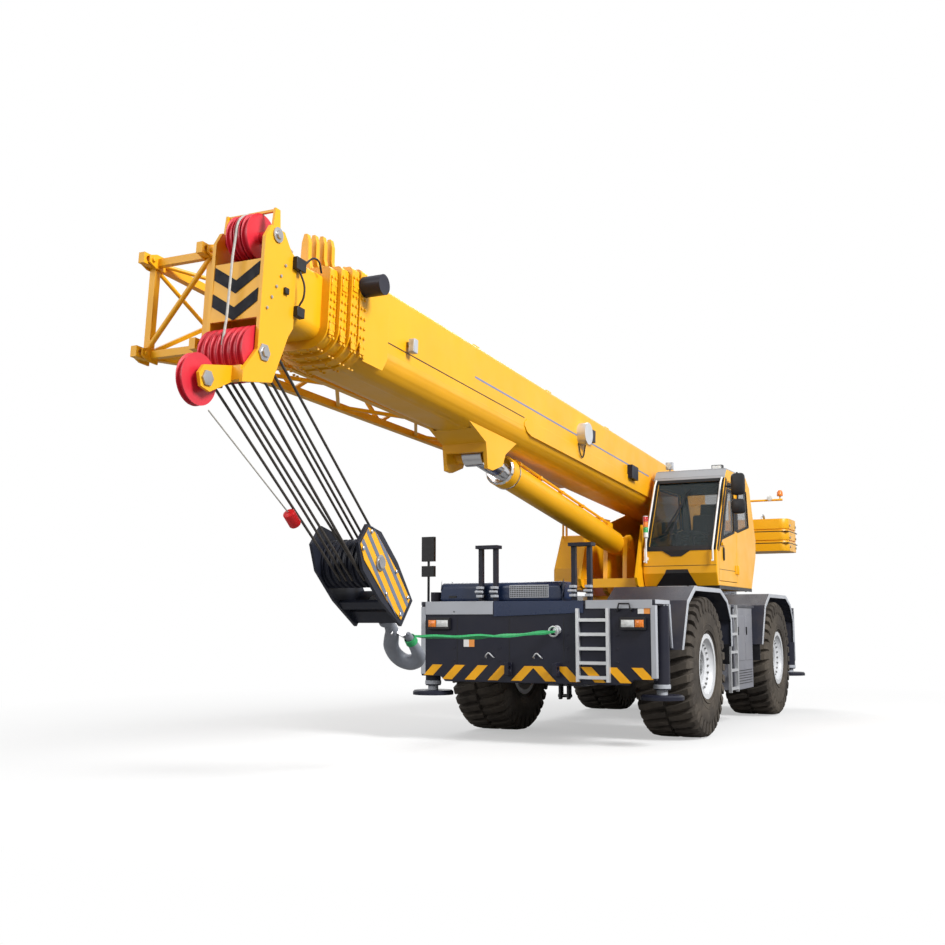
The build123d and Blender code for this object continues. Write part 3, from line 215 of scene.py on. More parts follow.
def treadplate(tree, shader):
    """Raised diamonds on upward faces."""
    place = split_coords(tree, 95.0)
    across = math(tree, "ADD", place["X"], place["Y"])
    back = math(tree, "SUBTRACT", place["X"], place["Y"])
    wave = math(tree, "MULTIPLY", math(tree, "SINE", across), math(tree, "SINE", back))
    lug = math(tree, "GREATER_THAN", wave, 0.45)
    bump(tree, shader, math(tree, "MULTIPLY", lug, facing_up(tree)), 0.7, 0.004)


def shade(color, by):
    return tuple(min(1.0, c * by) for c in color)


DUST = (0.27, 0.225, 0.17, 1)


def paint(
    name, color, rough=0.35, spread=0.08, scale=1.3,
    metal=0.0, coat=0.0, grain=0.0, dust=0.0, tread=False, spec=0.5,
):
    """Finish whose tone drifts over the surface, with dust that gathers in patches."""
    mat, tree, shader = base(name, color, rough, metal, coat)
    shader.inputs["Specular IOR Level"].default_value = spec
    tone = ramp(tree, noise(tree, scale), (0.3, shade(color, 1 - spread)), (0.7, shade(color, 1 + spread)))
    if dust:
        patch = ramp(tree, noise(tree, 2.3, 6.0), (0.42, (0, 0, 0)), (0.72, (dust, dust, dust)))
        tone = mix(tree, patch, tone, DUST)
    tree.links.new(tone, shader.inputs["Base Color"])
    wear = ramp(tree, noise(tree, scale * 3), (0.3, (rough * 0.85,) * 3), (0.7, (min(1, rough * 1.2),) * 3))
    tree.links.new(wear, shader.inputs["Roughness"])
    if tread:
        treadplate(tree, shader)
    elif grain:
        bump(tree, shader, noise(tree, 60.0, 2.0), grain, 0.002)
    return mat


def lens(name, color, rough=0.12):
    """Moulded lamp lens with fine ribs."""
    mat, tree, shader = base(name, color, rough, coat=0.6)
    tone = ramp(tree, noise(tree, 24.0), (0.3, shade(color, 0.8)), (0.7, shade(color, 1.15)))
    tree.links.new(tone, shader.inputs["Base Color"])
    place = split_coords(tree, 420.0)
    ribs = math(tree, "SINE", math(tree, "ADD", place["Y"], place["Z"]))
    bump(tree, shader, ribs, 0.35, 0.002)
    return mat


M = {
    "yellow": paint("yellow_paint", (0.83, 0.40, 0.006), 0.36, 0.05, spec=0.4),
    "slate": paint("slate_paint", (0.012, 0.013, 0.024), 0.40, 0.15, dust=0.02, spec=0.25),
    "navy": paint("navy_hood", (0.012, 0.024, 0.066), 0.28, 0.12, coat=0.1, spec=0.4),
    "fender": paint("fender_paint", (0.026, 0.028, 0.042), 0.40, 0.12, dust=0.12, tread=True, spec=0.3),
    "tank": paint("tank_paint", (0.185, 0.19, 0.22), 0.36, 0.08, dust=0.10),
    "silver": paint("silver_paint", (0.40, 0.42, 0.46), 0.34, 0.06, dust=0.05),
    "grey": paint("grey_roof", (0.30, 0.31, 0.33), 0.42, 0.06),
    "iron": paint("cast_iron", (0.022, 0.021, 0.021), 0.6, 0.25, 6.0, grain=0.4, dust=0.12, spec=0.25),
    "hook": paint("hook_iron", (0.20, 0.215, 0.25), 0.45, 0.15, 5.0, grain=0.4, dust=0.08),
    "black": paint("black_plastic", (0.010, 0.010, 0.012), 0.42, 0.2, 8.0, spec=0.35),
    "rubber": paint("black_rubber", (0.014, 0.014, 0.015), 0.62, 0.2, 9.0, spec=0.3),
    "mark": paint("marking_black", (0.005, 0.005, 0.009), 0.6, 0.2, 5.0, spec=0.2),
    "steel": paint("bare_steel", (0.42, 0.42, 0.43), 0.32, 0.1, 5.0, metal=0.85),
    "chrome": paint("chrome_plate", (0.75, 0.75, 0.76), 0.12, 0.02, 4.0, metal=1.0),
    "alu": paint("aluminium", (0.62, 0.63, 0.65), 0.35, 0.05, 9.0, metal=0.6),
    "red": paint("red_nylon", (0.60, 0.020, 0.040), 0.36, 0.12, 5.0),
    "rope": paint("wire_rope", (0.055, 0.048, 0.042), 0.5, 0.3, 30.0, metal=0.4),
    "line": paint("pale_line", (0.42, 0.40, 0.36), 0.5, 0.15, 30.0),
    "block": paint("block_paint", (0.014, 0.016, 0.026), 0.42, 0.15, 4.0, spec=0.3),
    "band": paint("band_paint", (0.13, 0.16, 0.23), 0.42, 0.1, 4.0),
    "rim": paint("rim_paint", (0.60, 0.61, 0.63), 0.42, 0.06, 5.0, dust=0.06),
    "hub": paint("hub_paint", (0.16, 0.165, 0.17), 0.45, 0.15, 6.0, dust=0.15),
    "tyre": paint("tyre_rubber", (0.056, 0.048, 0.041), 0.9, 0.22, 9.0, grain=0.5, dust=0.22, spec=0.2),
    "seat": paint("seat_fabric", (0.03, 0.03, 0.034), 0.85, 0.25, 40.0, grain=0.6),
    "white": paint("white_enamel", (0.78, 0.78, 0.77), 0.3, 0.03, 6.0),
    "stripe": paint("stripe_yellow", (0.85, 0.40, 0.010), 0.4, 0.08, 3.0, spec=0.3),
    "pin_blue": paint("pinstripe_blue", (0.17, 0.21, 0.34), 0.4, 0.1, 3.0),
    "strap": paint("green_strap", (0.025, 0.30, 0.10), 0.8, 0.25, 60.0, grain=0.8),
    "label": paint("label_orange", (0.80, 0.30, 0.06), 0.5, 0.06, 9.0),
    "clear": lens("clear_lens", (0.62, 0.64, 0.63)),
    "amber": lens("amber_lens", (0.85, 0.22, 0.01)),
    "ruby": lens("red_lens", (0.62, 0.012, 0.012)),
    "green": lens("green_lens", (0.01, 0.42, 0.10)),
    "weight": paint("weight_red", (0.66, 0.012, 0.015), 0.4, 0.1, 6.0, spec=0.3),
}
M["glass"], tree, shader = base("tinted_glass", (0.05, 0.075, 0.08), 0.03, coat=0.3)
tone = ramp(tree, noise(tree, 0.8), (0.3, (0.012, 0.024, 0.028)), (0.7, (0.02, 0.036, 0.04)))
tree.links.new(tone, shader.inputs["Base Color"])
shader.inputs["Alpha"].default_value = 0.30
shader.inputs["Specular IOR Level"].default_value = 0.7

# Finishes of the CAD nodes
LOOK_NODES = {
    "slate": "chassis_frame end_panels deck_stands boom_fittings",
    "iron": "axles driveline engine_block slew_ring winches",
    "fender": "decks fenders", "navy": "hoods", "tank": "side_tanks", "alu": "ladders",
    "black": "lamps carrier_mirrors cab_controls cab_fittings", "glass": "cab_glass door_glass",
    "yellow": "turntable_frame counterweight valve_cover cab_shell cab_door lift_cylinder_barrel boom_base"
    " lattice_jib boom_section_2 boom_section_3 boom_section_4 boom_section_5",
    "seat": "cab_seat", "chrome": "lift_cylinder_rod", "red": "head_sheaves", "rope": "hoist_ropes",
    "block": "hook_block", "hook": "hook",
}
CAD_LOOK = {node: look for look, nodes in LOOK_NODES.items() for node in nodes.split()}
CORNER_LOOK = {"outrigger_beam": "slate", "outrigger_jack": "steel", "knuckle": "iron", "rim": "rim", "tyre": "tyre"}
for corner in CORNERS:
    for stem, look in CORNER_LOOK.items():
        CAD_LOOK[stem + "_" + corner] = look
for name, look in CAD_LOOK.items():
    mesh = NODES[name].data
    mesh.materials.clear()
    mesh.materials.append(M[look])


def recolor(name, look, test):
    """Give another finish to the faces of a CAD node whose centre passes the test."""
    node = NODES[name]
    node.data.materials.append(M[look])
    index = len(node.data.materials) - 1
    for face in node.data.polygons:
        if test(node.matrix_world @ face.center):
            face.material_index = index


def near(centre, radius):
    """Test for points close to a crosswise axis."""
    return lambda p: (p - centre).xz.length < radius


def add_bevel(obj, width, segments, angle):
    mod = obj.modifiers.new("soften", "BEVEL")
    mod.width, mod.segments = width, segments
    mod.limit_method, mod.angle_limit = "ANGLE", radians(angle)
    return mod


def soften(name, width, segments=2, clamp=True):
    """Small rounded edges on a CAD node."""
    weld = NODES[name].modifiers.new("weld", "WELD")
    weld.merge_threshold = 0.0002
    bevel = add_bevel(NODES[name], width, segments, 35)
    bevel.harden_normals = True
    bevel.use_clamp_overlap = clamp


for corner in CORNERS:
    recolor("rim_" + corner, "hub", near(hub_of(corner), 0.335))
    recolor("outrigger_jack_" + corner, "slate", lambda p: p.z < 0.60)
    recolor("outrigger_jack_" + corner, "silver", lambda p: p.z > 0.75)
CAB_LINE = [
    (1.0, 1.88), (CAB_NOSE, 2.05), (CAB_NOSE, 2.35), (0.48, 3.40), (0.38, 3.50),
    (-0.70, 3.50), (-0.90, 3.38), (-1.23, 2.60), (-1.20, 2.35), (-0.90, 1.88),
]
CAB_SKIN = 0.02


def inside_cab(p):
    """True for points well within the outer skin of the cab."""
    deep = min(p.y - CAB_IN, CAB_OUT - p.y)
    for (ax, az), (bx, bz) in zip(CAB_LINE, CAB_LINE[1:] + CAB_LINE[:1]):
        run = Vector((bx - ax, bz - az))
        deep = min(deep, (run.x * (p.z - az) - run.y * (p.x - ax)) / run.length)
    return deep > CAB_SKIN


recolor("cab_shell", "rubber", inside_cab)
recolor("cab_door", "rubber", lambda p: p.y < CAB_OUT - CAB_SKIN)
recolor("boom_fittings", "alu", near(boom(5.48, 0.4, 0.255), 0.2))
EDGES = {
    "cab_shell": 0.014, "cab_door": 0.006, "counterweight": 0.014, "end_panels": 0.006, "valve_cover": 0.02,
    "side_tanks": 0.008, "decks": 0.005, "boom_base": 0.006, "lamps": 0.01, "carrier_mirrors": 0.012,
}
for name, width in EDGES.items():
    soften(name, width)
soften("hoods", 0.04, 4, clamp=False)


# Mesh pieces


def add_mesh(bm, name, look):
    """Smooth object from a bmesh, with its finish."""
    bmesh.ops.recalc_face_normals(bm, faces=bm.faces)
    mesh = bpy.data.meshes.new(name)
    bm.to_mesh(mesh)
    bm.free()
    for face in mesh.polygons:
        face.use_smooth = True
    mesh.materials.append(M[look])
    obj = bpy.data.objects.new(name, mesh)
    bpy.context.collection.objects.link(obj)
    return obj


def curve(points, steps=6):
    """Smooth line through points."""
    points = [Vector(p) for p in points]
    padded = [points[0] * 2 - points[1]] + points + [points[-1] * 2 - points[-2]]
    line = []
    for a, b, c, d in zip(padded, padded[1:], padded[2:], padded[3:]):
        slope, bend, twist = c - a, 2 * a - 5 * b + 4 * c - d, 3 * b - a - 3 * c + d
        for k in range(steps):
            t = k / steps
            line.append(0.5 * (2 * b + slope * t + bend * t * t + twist * t * t * t))
    return line + [points[-1]]


def square_to(axis):
    """Direction at right angles to an axis."""
    return axis.cross(Z if abs(axis.z) < 0.9 else X).normalized()


class Piece:
    """Gathers simple forms into one mesh."""

    def __init__(self):
        self.bm = bmesh.new()

    def rings(self, rings, closed=False):
        """Skin over point rings of one length, capped unless it closes on itself."""
        made = [[self.bm.verts.new(p) for p in ring] for ring in rings]
        count = len(made[0])
        pairs = list(zip(made, made[1:]))
        if closed:
            pairs.append((made[-1], made[0]))
        for a, b in pairs:
            for i in range(count):
                j = (i + 1) % count
                self.bm.faces.new((a[i], a[j], b[j], b[i]))
        if not closed:
            self.bm.faces.new(list(reversed(made[0])))
            self.bm.faces.new(made[-1])

    def plate(self, points, shift):
        """Flat outline with thickness."""
        points = [Vector(p) for p in points]
        self.rings([points, [p + Vector(shift) for p in points]])

    def box(self, at, size, axes=(X, Y, Z)):
        a, b, c = (axis * (s / 2) for axis, s in zip(axes, size))
        at = Vector(at)
        ring = [at - a - b, at + a - b, at + a + b, at - a + b]
        self.rings([[p - c for p in ring], [p + c for p in ring]])

    def rod(self, start, end, radius):
        start, end = Vector(start), Vector(end)
        self.turn(start, end - start, [(0, radius), ((end - start).length, radius)], 14)

    def turn(self, at, axis, profile, sides=24, closed=False):
        """Lathe form: profile of (height, radius) along the axis."""
        at, axis = Vector(at), Vector(axis).normalized()
        side = square_to(axis)
        other = axis.cross(side)
        self.rings([circle(at + axis * h, side, other, max(r, 1e-4), sides) for h, r in profile], closed)

    def bolt(self, at, axis, radius, height):
        self.turn(at, axis, [(0, radius), (height * 0.85, radius), (height, radius * 0.85)], 6)

    def pipe(self, points, radius, sides=8, closed=False):
        """Tube along points, bent in the plane of each corner."""
        points = [Vector(p) for p in points]
        count = len(points)
        rings = []
        normal = None
        for i, p in enumerate(points):
            before = points[i - 1] if (i or closed) else p
            after = points[(i + 1) % count] if (i < count - 1 or closed) else p
            tangent = (after - before).normalized()
            if normal is None:
                normal = square_to(tangent)
            normal = (normal - tangent * normal.dot(tangent)).normalized()
            rings.append(circle(p, normal, tangent.cross(normal), radius, sides))
        self.rings(rings, closed)

    def hose(self, points, radius):
        """Tube on a smooth line through points."""
        self.pipe(curve(points), radius)

    def make(self, name, look, body, bevel=0.0):
        obj = add_mesh(self.bm, name, look)
        obj.data.set_sharp_from_angle(angle=radians(32))
        if bevel:
            add_bevel(obj, bevel, 2, 40)
        if body:
            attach(obj, body)
        return obj


def clip(points, axis, limit, keep):
    """Flat outline cut at one coordinate; keep is 1 above the limit or -1 below it."""
    result = []
    for a, b in zip(points, points[1:] + points[:1]):
        ina, inb = keep * (a[axis] - limit) >= 0, keep * (b[axis] - limit) >= 0
        if ina:
            result.append(a)
        if ina != inb:
            t = (limit - a[axis]) / (b[axis] - a[axis])
            result.append(tuple(p + (q - p) * t for p, q in zip(a, b)))
    return result


# Carrier ends: hazard stripes, corner posts, lamp lenses, blank plates, hoops, seams and bolts
STRIPE = ((0.0, 0.725), (0.13, 0.725), (-0.04, 0.895), (-0.17, 0.895))
STRIPE_CUT, STRIPE_END = 0.768, 1.43
stripes, posts = Piece(), Piece()
for end, side in ENDS_AND_SIDES:
    for k in range(5):
        foot = 0.15 + 0.30 * k
        outline = [(foot + a, z) for a, z in STRIPE]
        outline = clip(clip(outline, 0, 0.0, 1), 0, STRIPE_END, -1)
        if foot > 1.1:
            outline = clip(outline, 1, STRIPE_CUT, 1)
        stripes.plate([(end * PANEL, side * y, z) for y, z in outline], X * end * 0.003)
    posts.box((end * (PANEL - 0.03), side * 1.462, 1.18), (0.072, 0.014, 0.80))
    posts.box((end * (PANEL + 0.003), side * 1.435, 1.18), (0.006, 0.05, 0.80))
stripes.make("hazard_stripes", "stripe", "carrier")
posts.make("corner_posts", "silver", "carrier", 0.003)
LAMP_Z, LENS_HALF, LENS_INNER, LENS_OUTER = 1.38, 0.040, (1.085, 1.235), (1.245, 1.345)
for look, end, (low, high) in (
    ("clear", 1, LENS_INNER), ("amber", 1, LENS_OUTER), ("ruby", -1, LENS_INNER), ("amber", -1, LENS_OUTER),
):
    lenses = Piece()
    x, half = end * (PANEL + 0.05), (high - low) / 2
    for side in BOTH:
        mid = side * (low + high) / 2
        lenses.rings([
            [(x + end * out, mid + a * (half - less), LAMP_Z + b * (LENS_HALF - less)) for a, b in SQUARE]
            for less, out in ((0, -0.004), (0, 0.006), (0.01, 0.012))
        ])
    lenses.make("lens_%s_%s" % (look, "front" if end > 0 else "rear"), look, "carrier")
LABEL_WIDE = 0.07
for name, look, shift in (("blank_labels", "white", 0.0), ("blank_labels_orange", "label", LABEL_WIDE)):
    labels = Piece()
    for y, z in ((-0.86, 1.15), (1.30, 1.53)):
        labels.box((PANEL + 0.002, y + shift, z), (0.004, LABEL_WIDE, 0.085))
    labels.make(name, look, "carrier")
HOOP = (
    (-0.01, -0.05, 0.98), (0.035, -0.045, 1.0), (0.045, 0.0, 1.04), (0.035, 0.045, 1.0), (-0.01, 0.05, 0.98),
)
hoops = Piece()
for y in (-0.55, 0.06):
    hoops.hose([(PANEL + out, y + a, z) for out, a, z in HOOP], 0.008)
hoops.turn((PANEL, 0.30, 1.31), X, [(0, 0.05), (0.012, 0.05), (0.012, 0.0)], 16)
hoops.pipe(circle((PANEL + 0.045, 0.27, 1.29), Y, Z, 0.055, 16), 0.012, closed=True)
hoops.box((PANEL + 0.03, 0.30, 1.32), (0.05, 0.03, 0.03))
hoops.make("panel_hoops", "alu", "carrier")
HANDLE_Y = 1.12
HANDLE = (
    (0.005, -0.08, 1.52), (0.05, -0.075, 1.535), (0.05, -0.06, 1.60),
    (0.05, 0.06, 1.60), (0.05, 0.075, 1.535), (0.005, 0.08, 1.52),
)
seams = Piece()
seams.pipe([(PANEL + out, HANDLE_Y + a, z) for out, a, z in HANDLE], 0.011)
for y in (-0.30, 0.38, -0.98):
    seams.box((PANEL + 0.001, y, 1.18), (0.003, 0.006, 0.55))
seams.make("panel_seams_and_handle", "black", "carrier")
bolts = Piece()
for end, side in ENDS_AND_SIDES:
    for z in (0.95, 1.1, 1.25, 1.52):
        for y in (1.02, 0.42):
            bolts.bolt((end * PANEL, side * y, z), X * end, 0.013, 0.009)
bolts.make("panel_bolts", "slate", "carrier")

# Hoods: perforated panel, latches and rear slots, whose holes and slots are black marks of painted shade; deck edge
# and apron
HOLE_STEP = 0.022
grille = Piece()
grille.box((3.721, -0.10, 1.755), (0.006, 0.50, 0.15))
grille.make("hood_grille", "silver", "carrier", 0.002)
# Black discs and strips on the surface stand for the holes and slots: painted shade of the openings
holes = Piece()
for i in range(22):
    for j in range(6):
        at = (3.7245, -0.331 + HOLE_STEP * i, 1.700 + HOLE_STEP * j)
        holes.turn(at, X, [(0, 0.008), (0.0012, 0.008)], 8)
for y in (-1.10, -0.72):
    holes.box((3.720, y, 1.70), (0.010, 0.10, 0.025))
for x in (-3.45, -3.2, -2.95, -2.7):
    for side in BOTH:
        for z in (1.74, 1.79, 1.84, 1.89):
            holes.box((x, side * 0.532, z), (0.17, 0.006, 0.014))
holes.make("hood_holes_painted_shade", "black", "carrier")
edge = Piece()
edge.box((PANEL + 0.004, -0.96, 1.565), (0.010, 0.90, 0.155))
edge.box((PANEL + 0.004, 1.04, 1.595), (0.010, 0.78, 0.095))
for side in BOTH:
    edge.box((3.57, side * 1.467, 1.62), (0.54, 0.006, 0.046))
edge.make("deck_edge", "silver", "carrier", 0.002)
apron = Piece()
apron.plate([(PANEL, y, z) for y, z in ((-0.50, 1.46), (0.62, 1.50), (0.62, 1.64), (-0.50, 1.64))], X * 0.012)
apron.make("front_apron", "navy", "carrier", 0.004)

# Fender lips, tank doors and trim, mud flaps, deck braces, stand clamps and tow lugs
LIP_Y = 1.560
LIP_OUT = [(-1.22, 1.08), (-1.22, 1.42), (-1.01, 1.69), (-0.66, 1.825), (0.54, 1.825), (0.86, 1.65), (1.12, 1.08)]
LIP_IN = [(-1.165, 1.08), (-1.165, 1.405), (-0.975, 1.645), (-0.645, 1.77), (0.52, 1.77), (0.815, 1.61), (1.06, 1.08)]
lips = Piece()
for end, side in ENDS_AND_SIDES:
    for quad in zip(LIP_OUT, LIP_OUT[1:], LIP_IN[1:], LIP_IN):
        lips.plate([(end * AXLE_X + x, side * LIP_Y, z) for x, z in quad], Y * side * 0.011)
lips.make("fender_lips", "silver", "carrier", 0.003)
doors = Piece()
for side in BOTH:
    for x, wide in ((-0.50, 0.40), (-0.02, 0.42)):
        doors.box((x, side * 1.472, 1.18), (wide, 0.006, 0.62))
doors.make("tank_doors", "tank", "carrier", 0.003)
trim = Piece()
for side in BOTH:
    for x in (-0.34, 0.14):
        trim.box((x, side * 1.48, 1.28), (0.022, 0.02, 0.11))
    for k in range(6):
        trim.box((-0.24, side * 1.473, 0.56 + 0.035 * k), (0.82, 0.006, 0.009))
    trim.turn((-0.62, side * 1.1, 1.64), Z, [(0, 0.06), (0.03, 0.06), (0.04, 0.05), (0.04, 0)], 20)
    for x in (1.10 - AXLE_X, AXLE_X - 1.19):
        trim.box((x, side * WHEEL_Y, 0.98), (0.012, 0.62, 0.26))
trim.make("tank_trim_and_flaps", "black", "carrier", 0.002)
brace = Piece()
for side in BOTH:
    outline = ((3.30, 1.60), (3.24, 1.60), (3.17, 1.10), (3.20, 1.10))
    brace.plate([(x, side * 1.44, z) for x, z in outline], Y * side * 0.02)
brace.make("deck_braces", "silver", "carrier", 0.002)
clamps = Piece()
for stand in (-0.59, 0.59):
    for y in (stand - 0.095, stand + 0.095):
        for z in (1.70, 1.80):
            clamps.box((PANEL - 0.012, y, z), (0.085, 0.066, 0.03))
        clamps.rod((PANEL + 0.02, y - 0.05, 1.75), (PANEL + 0.02, y + 0.05, 1.75), 0.016)
clamps.make("deck_stand_clamps", "silver", "carrier", 0.003)
tow = Piece()
for y in (0.26, 0.36):
    outline = ((3.72, 0.74), (3.62, 0.74), (3.62, 0.56), (3.66, 0.52), (3.72, 0.52))
    tow.plate([(x, y, z) for x, z in outline], Y * 0.025)
tow.rod((3.67, 0.24, 0.56), (3.67, 0.405, 0.56), 0.02)
tow.make("front_tow_lugs", "black", "carrier", 0.003)

# Axle and frame hoses
AXLE_HOSES = (
    (0.014, ((0.2, 0.40, 1.3), (0.26, 0.50, 1.12), (0.22, 0.46, 0.98), (0.12, 0.50, 0.93))),
    (0.012, ((-0.2, 0.40, 1.32), (-0.27, 0.47, 1.15), (-0.2, 0.43, 1.0), (-0.12, 0.42, 0.94))),
)
hoses = Piece()
for end, side in ENDS_AND_SIDES:
    for radius, line in AXLE_HOSES:
        hoses.hose([(end * AXLE_X + x, side * y, z) for x, y, z in line], radius)
for y in (-0.2, -0.12, 0.15, 0.22):
    hoses.hose([(1.2, y, 1.10), (0.4, y * 1.2, 1.07), (-0.5, y, 1.09), (-1.3, y * 1.1, 1.12)], 0.013)
hoses.make("carrier_hoses", "rubber", "carrier")

# Tyres: rounded carcass (half of its profile), side ribs and swept shoulder lugs
CARCASS_HALF = [
    (-0.294, 0.372), (-0.325, 0.40), (-0.343, 0.46), (-0.350, 0.55), (-0.347, 0.64), (-0.335, 0.715),
    (-0.312, 0.765), (-0.27, 0.795), (-0.15, 0.804),
]
CARCASS = CARCASS_HALF + [(-y, r) for y, r in reversed(CARCASS_HALF)]
LUGS, TYRE_SIDES = 34, 96
# Across the tread, lead round the tyre, half width, foot and tip radius of a lug
LUG_LINE = [
    (0.015, 0.078, 0.036, 0.79, 0.8585), (0.13, 0.056, 0.039, 0.79, 0.8595), (0.24, 0.02, 0.042, 0.785, 0.857),
    (0.31, 0.0, 0.045, 0.755, 0.846), (0.342, -0.003, 0.045, 0.70, 0.815), (0.350, -0.003, 0.040, 0.68, 0.765),
    (0.3495, -0.003, 0.034, 0.66, 0.70),
]
LUG_FLARE = 1.15


def lug(hub, hand, turn):
    """Sections of one lug on a shoulder of the tyre."""
    rings = []
    for y, shift, wide, low, high in LUG_LINE:
        lead, half = turn + hand * shift / HUB_Z, wide / HUB_Z
        corners = ((low, -half * LUG_FLARE), (low, half * LUG_FLARE), (high, half), (high, -half))
        rings.append([hub + Y * hand * y + (X * sin(lead + d) + Z * cos(lead + d)) * r for r, d in corners])
    return rings


for corner in CORNERS:
    hub = hub_of(corner)
    tyre = Piece()
    tyre.turn(hub, Y, CARCASS, TYRE_SIDES, True)
    for rib in (0.43, 0.50):
        profile = [(0.336, rib), (0.3505, rib + 0.006), (0.3505, rib + 0.016), (0.336, rib + 0.022)]
        for hand in BOTH:
            tyre.turn(hub, Y * hand, profile, TYRE_SIDES, True)
    for hand in BOTH:
        for k in range(LUGS):
            tyre.rings(lug(hub, hand, 2 * pi * (k + 0.25 * hand) / LUGS))
    tyre = tyre.make("lugged_tyre_" + corner, "tyre", "wheel_" + corner, 0.004)
    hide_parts("tyre_" + corner)

# Wheel dishes, nuts and hub bolts
DISH = [
    (0.318, 0.3395), (0.300, 0.334), (0.268, 0.305), (0.248, 0.232), (0.238, 0.212), (0.10, 0.206),
    (0.10, 0.225), (0.222, 0.228), (0.236, 0.245), (0.250, 0.300), (0.285, 0.3395),
]
for corner, (_, side) in CORNERS.items():
    hub, out = hub_of(corner), Y * side
    dish = Piece()
    dish.turn(hub, out, DISH, 64, True)
    dish.make("wheel_dish_" + corner, "rim", "wheel_" + corner)
    nuts = Piece()
    for at in circle(hub + out * 0.254, X, Z, 0.268, 20):
        nuts.bolt(at, out, 0.015, 0.024)
    for at in circle(hub + out * 0.235, X, Z, 0.085, 12):
        nuts.bolt(at, out, 0.011, 0.012)
    nuts.turn(hub + out * 0.233, out, [(0, 0.055), (0.02, 0.05), (0.026, 0.03), (0.027, 0.0)], 20)
    nuts.make("wheel_nuts_" + corner, "hub", "wheel_" + corner)

# Outrigger jacks: gland nuts and cover bolts
JACK_X, JACK_OFFSET, JACK_Y = 3.543, 0.1135, 1.4
for corner, (end, side) in CORNERS.items():
    x, y = end * JACK_X - side * JACK_OFFSET, side * JACK_Y
    gland = Piece()
    gland.turn((x, y, 0.655), Z, [(0, 0.098), (0.04, 0.098), (0.045, 0.093)], 28)
    for at in circle((x, y, 1.580), X, Y, 0.078, 8):
        gland.bolt(at, Z, 0.012, 0.012)
    gland.make("jack_collar_" + corner, "silver", "beam_" + corner)

# Ring of bolts on the slewing bearing
SLEW = Vector((0, 0, 1.66))
bolts = Piece()
for at in circle(SLEW, X, Y, 0.735, 40):
    bolts.bolt(at, at - SLEW, 0.016, 0.036)
bolts.make("slew_bolts", "steel", "carrier")

# Cab: windscreen surround, nose panels, seams and wiper, with black skirt strips and a dark panel below the cab as
# painted shade
TRIM_THICK = 0.007
FRAME_IN, FRAME_OUT, FRAME_TOP = 0.444, 1.436, 1.165
SHADE_STRIP_Z, SHADE_STRIP_HIGH = 1.862, 0.046
trim = Piece()
for y0, y1, t0, t1 in (
    (1.37, FRAME_OUT, 0.0, FRAME_TOP), (FRAME_IN, 0.51, 0.0, FRAME_TOP),
    (FRAME_IN, FRAME_OUT, 1.118, FRAME_TOP), (FRAME_IN, FRAME_OUT, 0.0, 0.072),
):
    trim.plate([screen(y0, t0), screen(y1, t0), screen(y1, t1), screen(y0, t1)], SCREEN_OUT * TRIM_THICK)
VEE = ((0.70, 2.356), (1.10, 2.356), (1.01, 2.30), (0.97, 2.275), (0.83, 2.275), (0.79, 2.30))
trim.plate([(CAB_NOSE, y, z) for y, z in VEE], X * TRIM_THICK)
chin = [(CAB_NOSE, 0.74, 2.052), (CAB_NOSE, 1.07, 2.052)]
trim.plate(chin + [(1.0, 1.16, 1.882), (1.0, 0.60, 1.882)], Vector((0.17, 0, -0.06)).normalized() * TRIM_THICK)
trim.plate(chin + [(CAB_NOSE, 1.05, 2.10), (CAB_NOSE, 0.76, 2.10)], X * TRIM_THICK)
trim.box((CAB_NOSE + 0.0005, CAB_MID, 2.15), (0.003, 1.0, 0.006))
# Black strips round the platform edge below the cab, and a dark panel under the cab front: painted shade of the gap
# above the fenders
trim.box((0.955, 0.935, SHADE_STRIP_Z), (0.012, 1.02, SHADE_STRIP_HIGH))
trim.box((0.03, 1.443, SHADE_STRIP_Z), (1.86, 0.010, SHADE_STRIP_HIGH))
trim.box((0.60, 0.80, 1.78), (0.02, 0.74, 0.13))
WIPER = ((0.82, 0.085, 0.012), (0.80, 0.20, 0.03), (0.86, 0.55, 0.026), (0.90, 0.80, 0.016))
trim.hose([screen(*p) for p in WIPER], 0.007)
blade = ((0.70, 0.30), (0.715, 0.295), (0.985, 0.98), (0.97, 0.985))
trim.plate([screen(y, t, 0.010) for y, t in blade], SCREEN_OUT * 0.010)
trim.make("cab_trim_and_painted_shade", "black", "superstructure")

# Cab roof, rails, steps and roof lamps
ROOF_IN, ROOF_OUT = 0.436, 1.444
roof = Piece()
roof.plate([(0.385, 0.45, 3.503), (0.385, 1.43, 3.503), (-0.70, 1.43, 3.503), (-0.70, 0.45, 3.503)], Z * 0.018)
brow = [screen(ROOF_IN, FRAME_TOP), screen(ROOF_OUT, FRAME_TOP), (0.482, ROOF_OUT, 3.402), (0.482, ROOF_IN, 3.402)]
roof.plate(brow, SCREEN_OUT * 0.008)
brow = [(0.482, ROOF_IN, 3.400), (0.482, ROOF_OUT, 3.400), (0.382, ROOF_OUT, 3.502), (0.382, ROOF_IN, 3.502)]
roof.plate(brow, Vector((0.7, 0, 0.7)) * 0.011)
roof.make("cab_roof", "grey", "superstructure", 0.004)
rails = Piece()
for y in (1.405, 0.475):
    foot = [screen(y, -0.16), (1.10, y, 2.20), (1.105, y, 2.37)]
    rails.pipe(foot + [screen(y, 0.06, 0.05), screen(y, 1.05, 0.05), screen(y, 1.16, 0.02)], 0.013)
rails.make("cab_rails", "white", "superstructure")
STEP_X, STEP_Z = 1.005, 1.868
steps = Piece()
for y0, y1 in ((0.62, 1.02), (1.05, 1.15)):
    steps.rod((STEP_X, y0, STEP_Z), (STEP_X, y1, STEP_Z), 0.014)
for y in (0.64, 1.0, 1.07, 1.13):
    steps.rod((0.95, y, STEP_Z), (STEP_X, y, STEP_Z), 0.008)
steps.make("cab_steps", "alu", "superstructure")
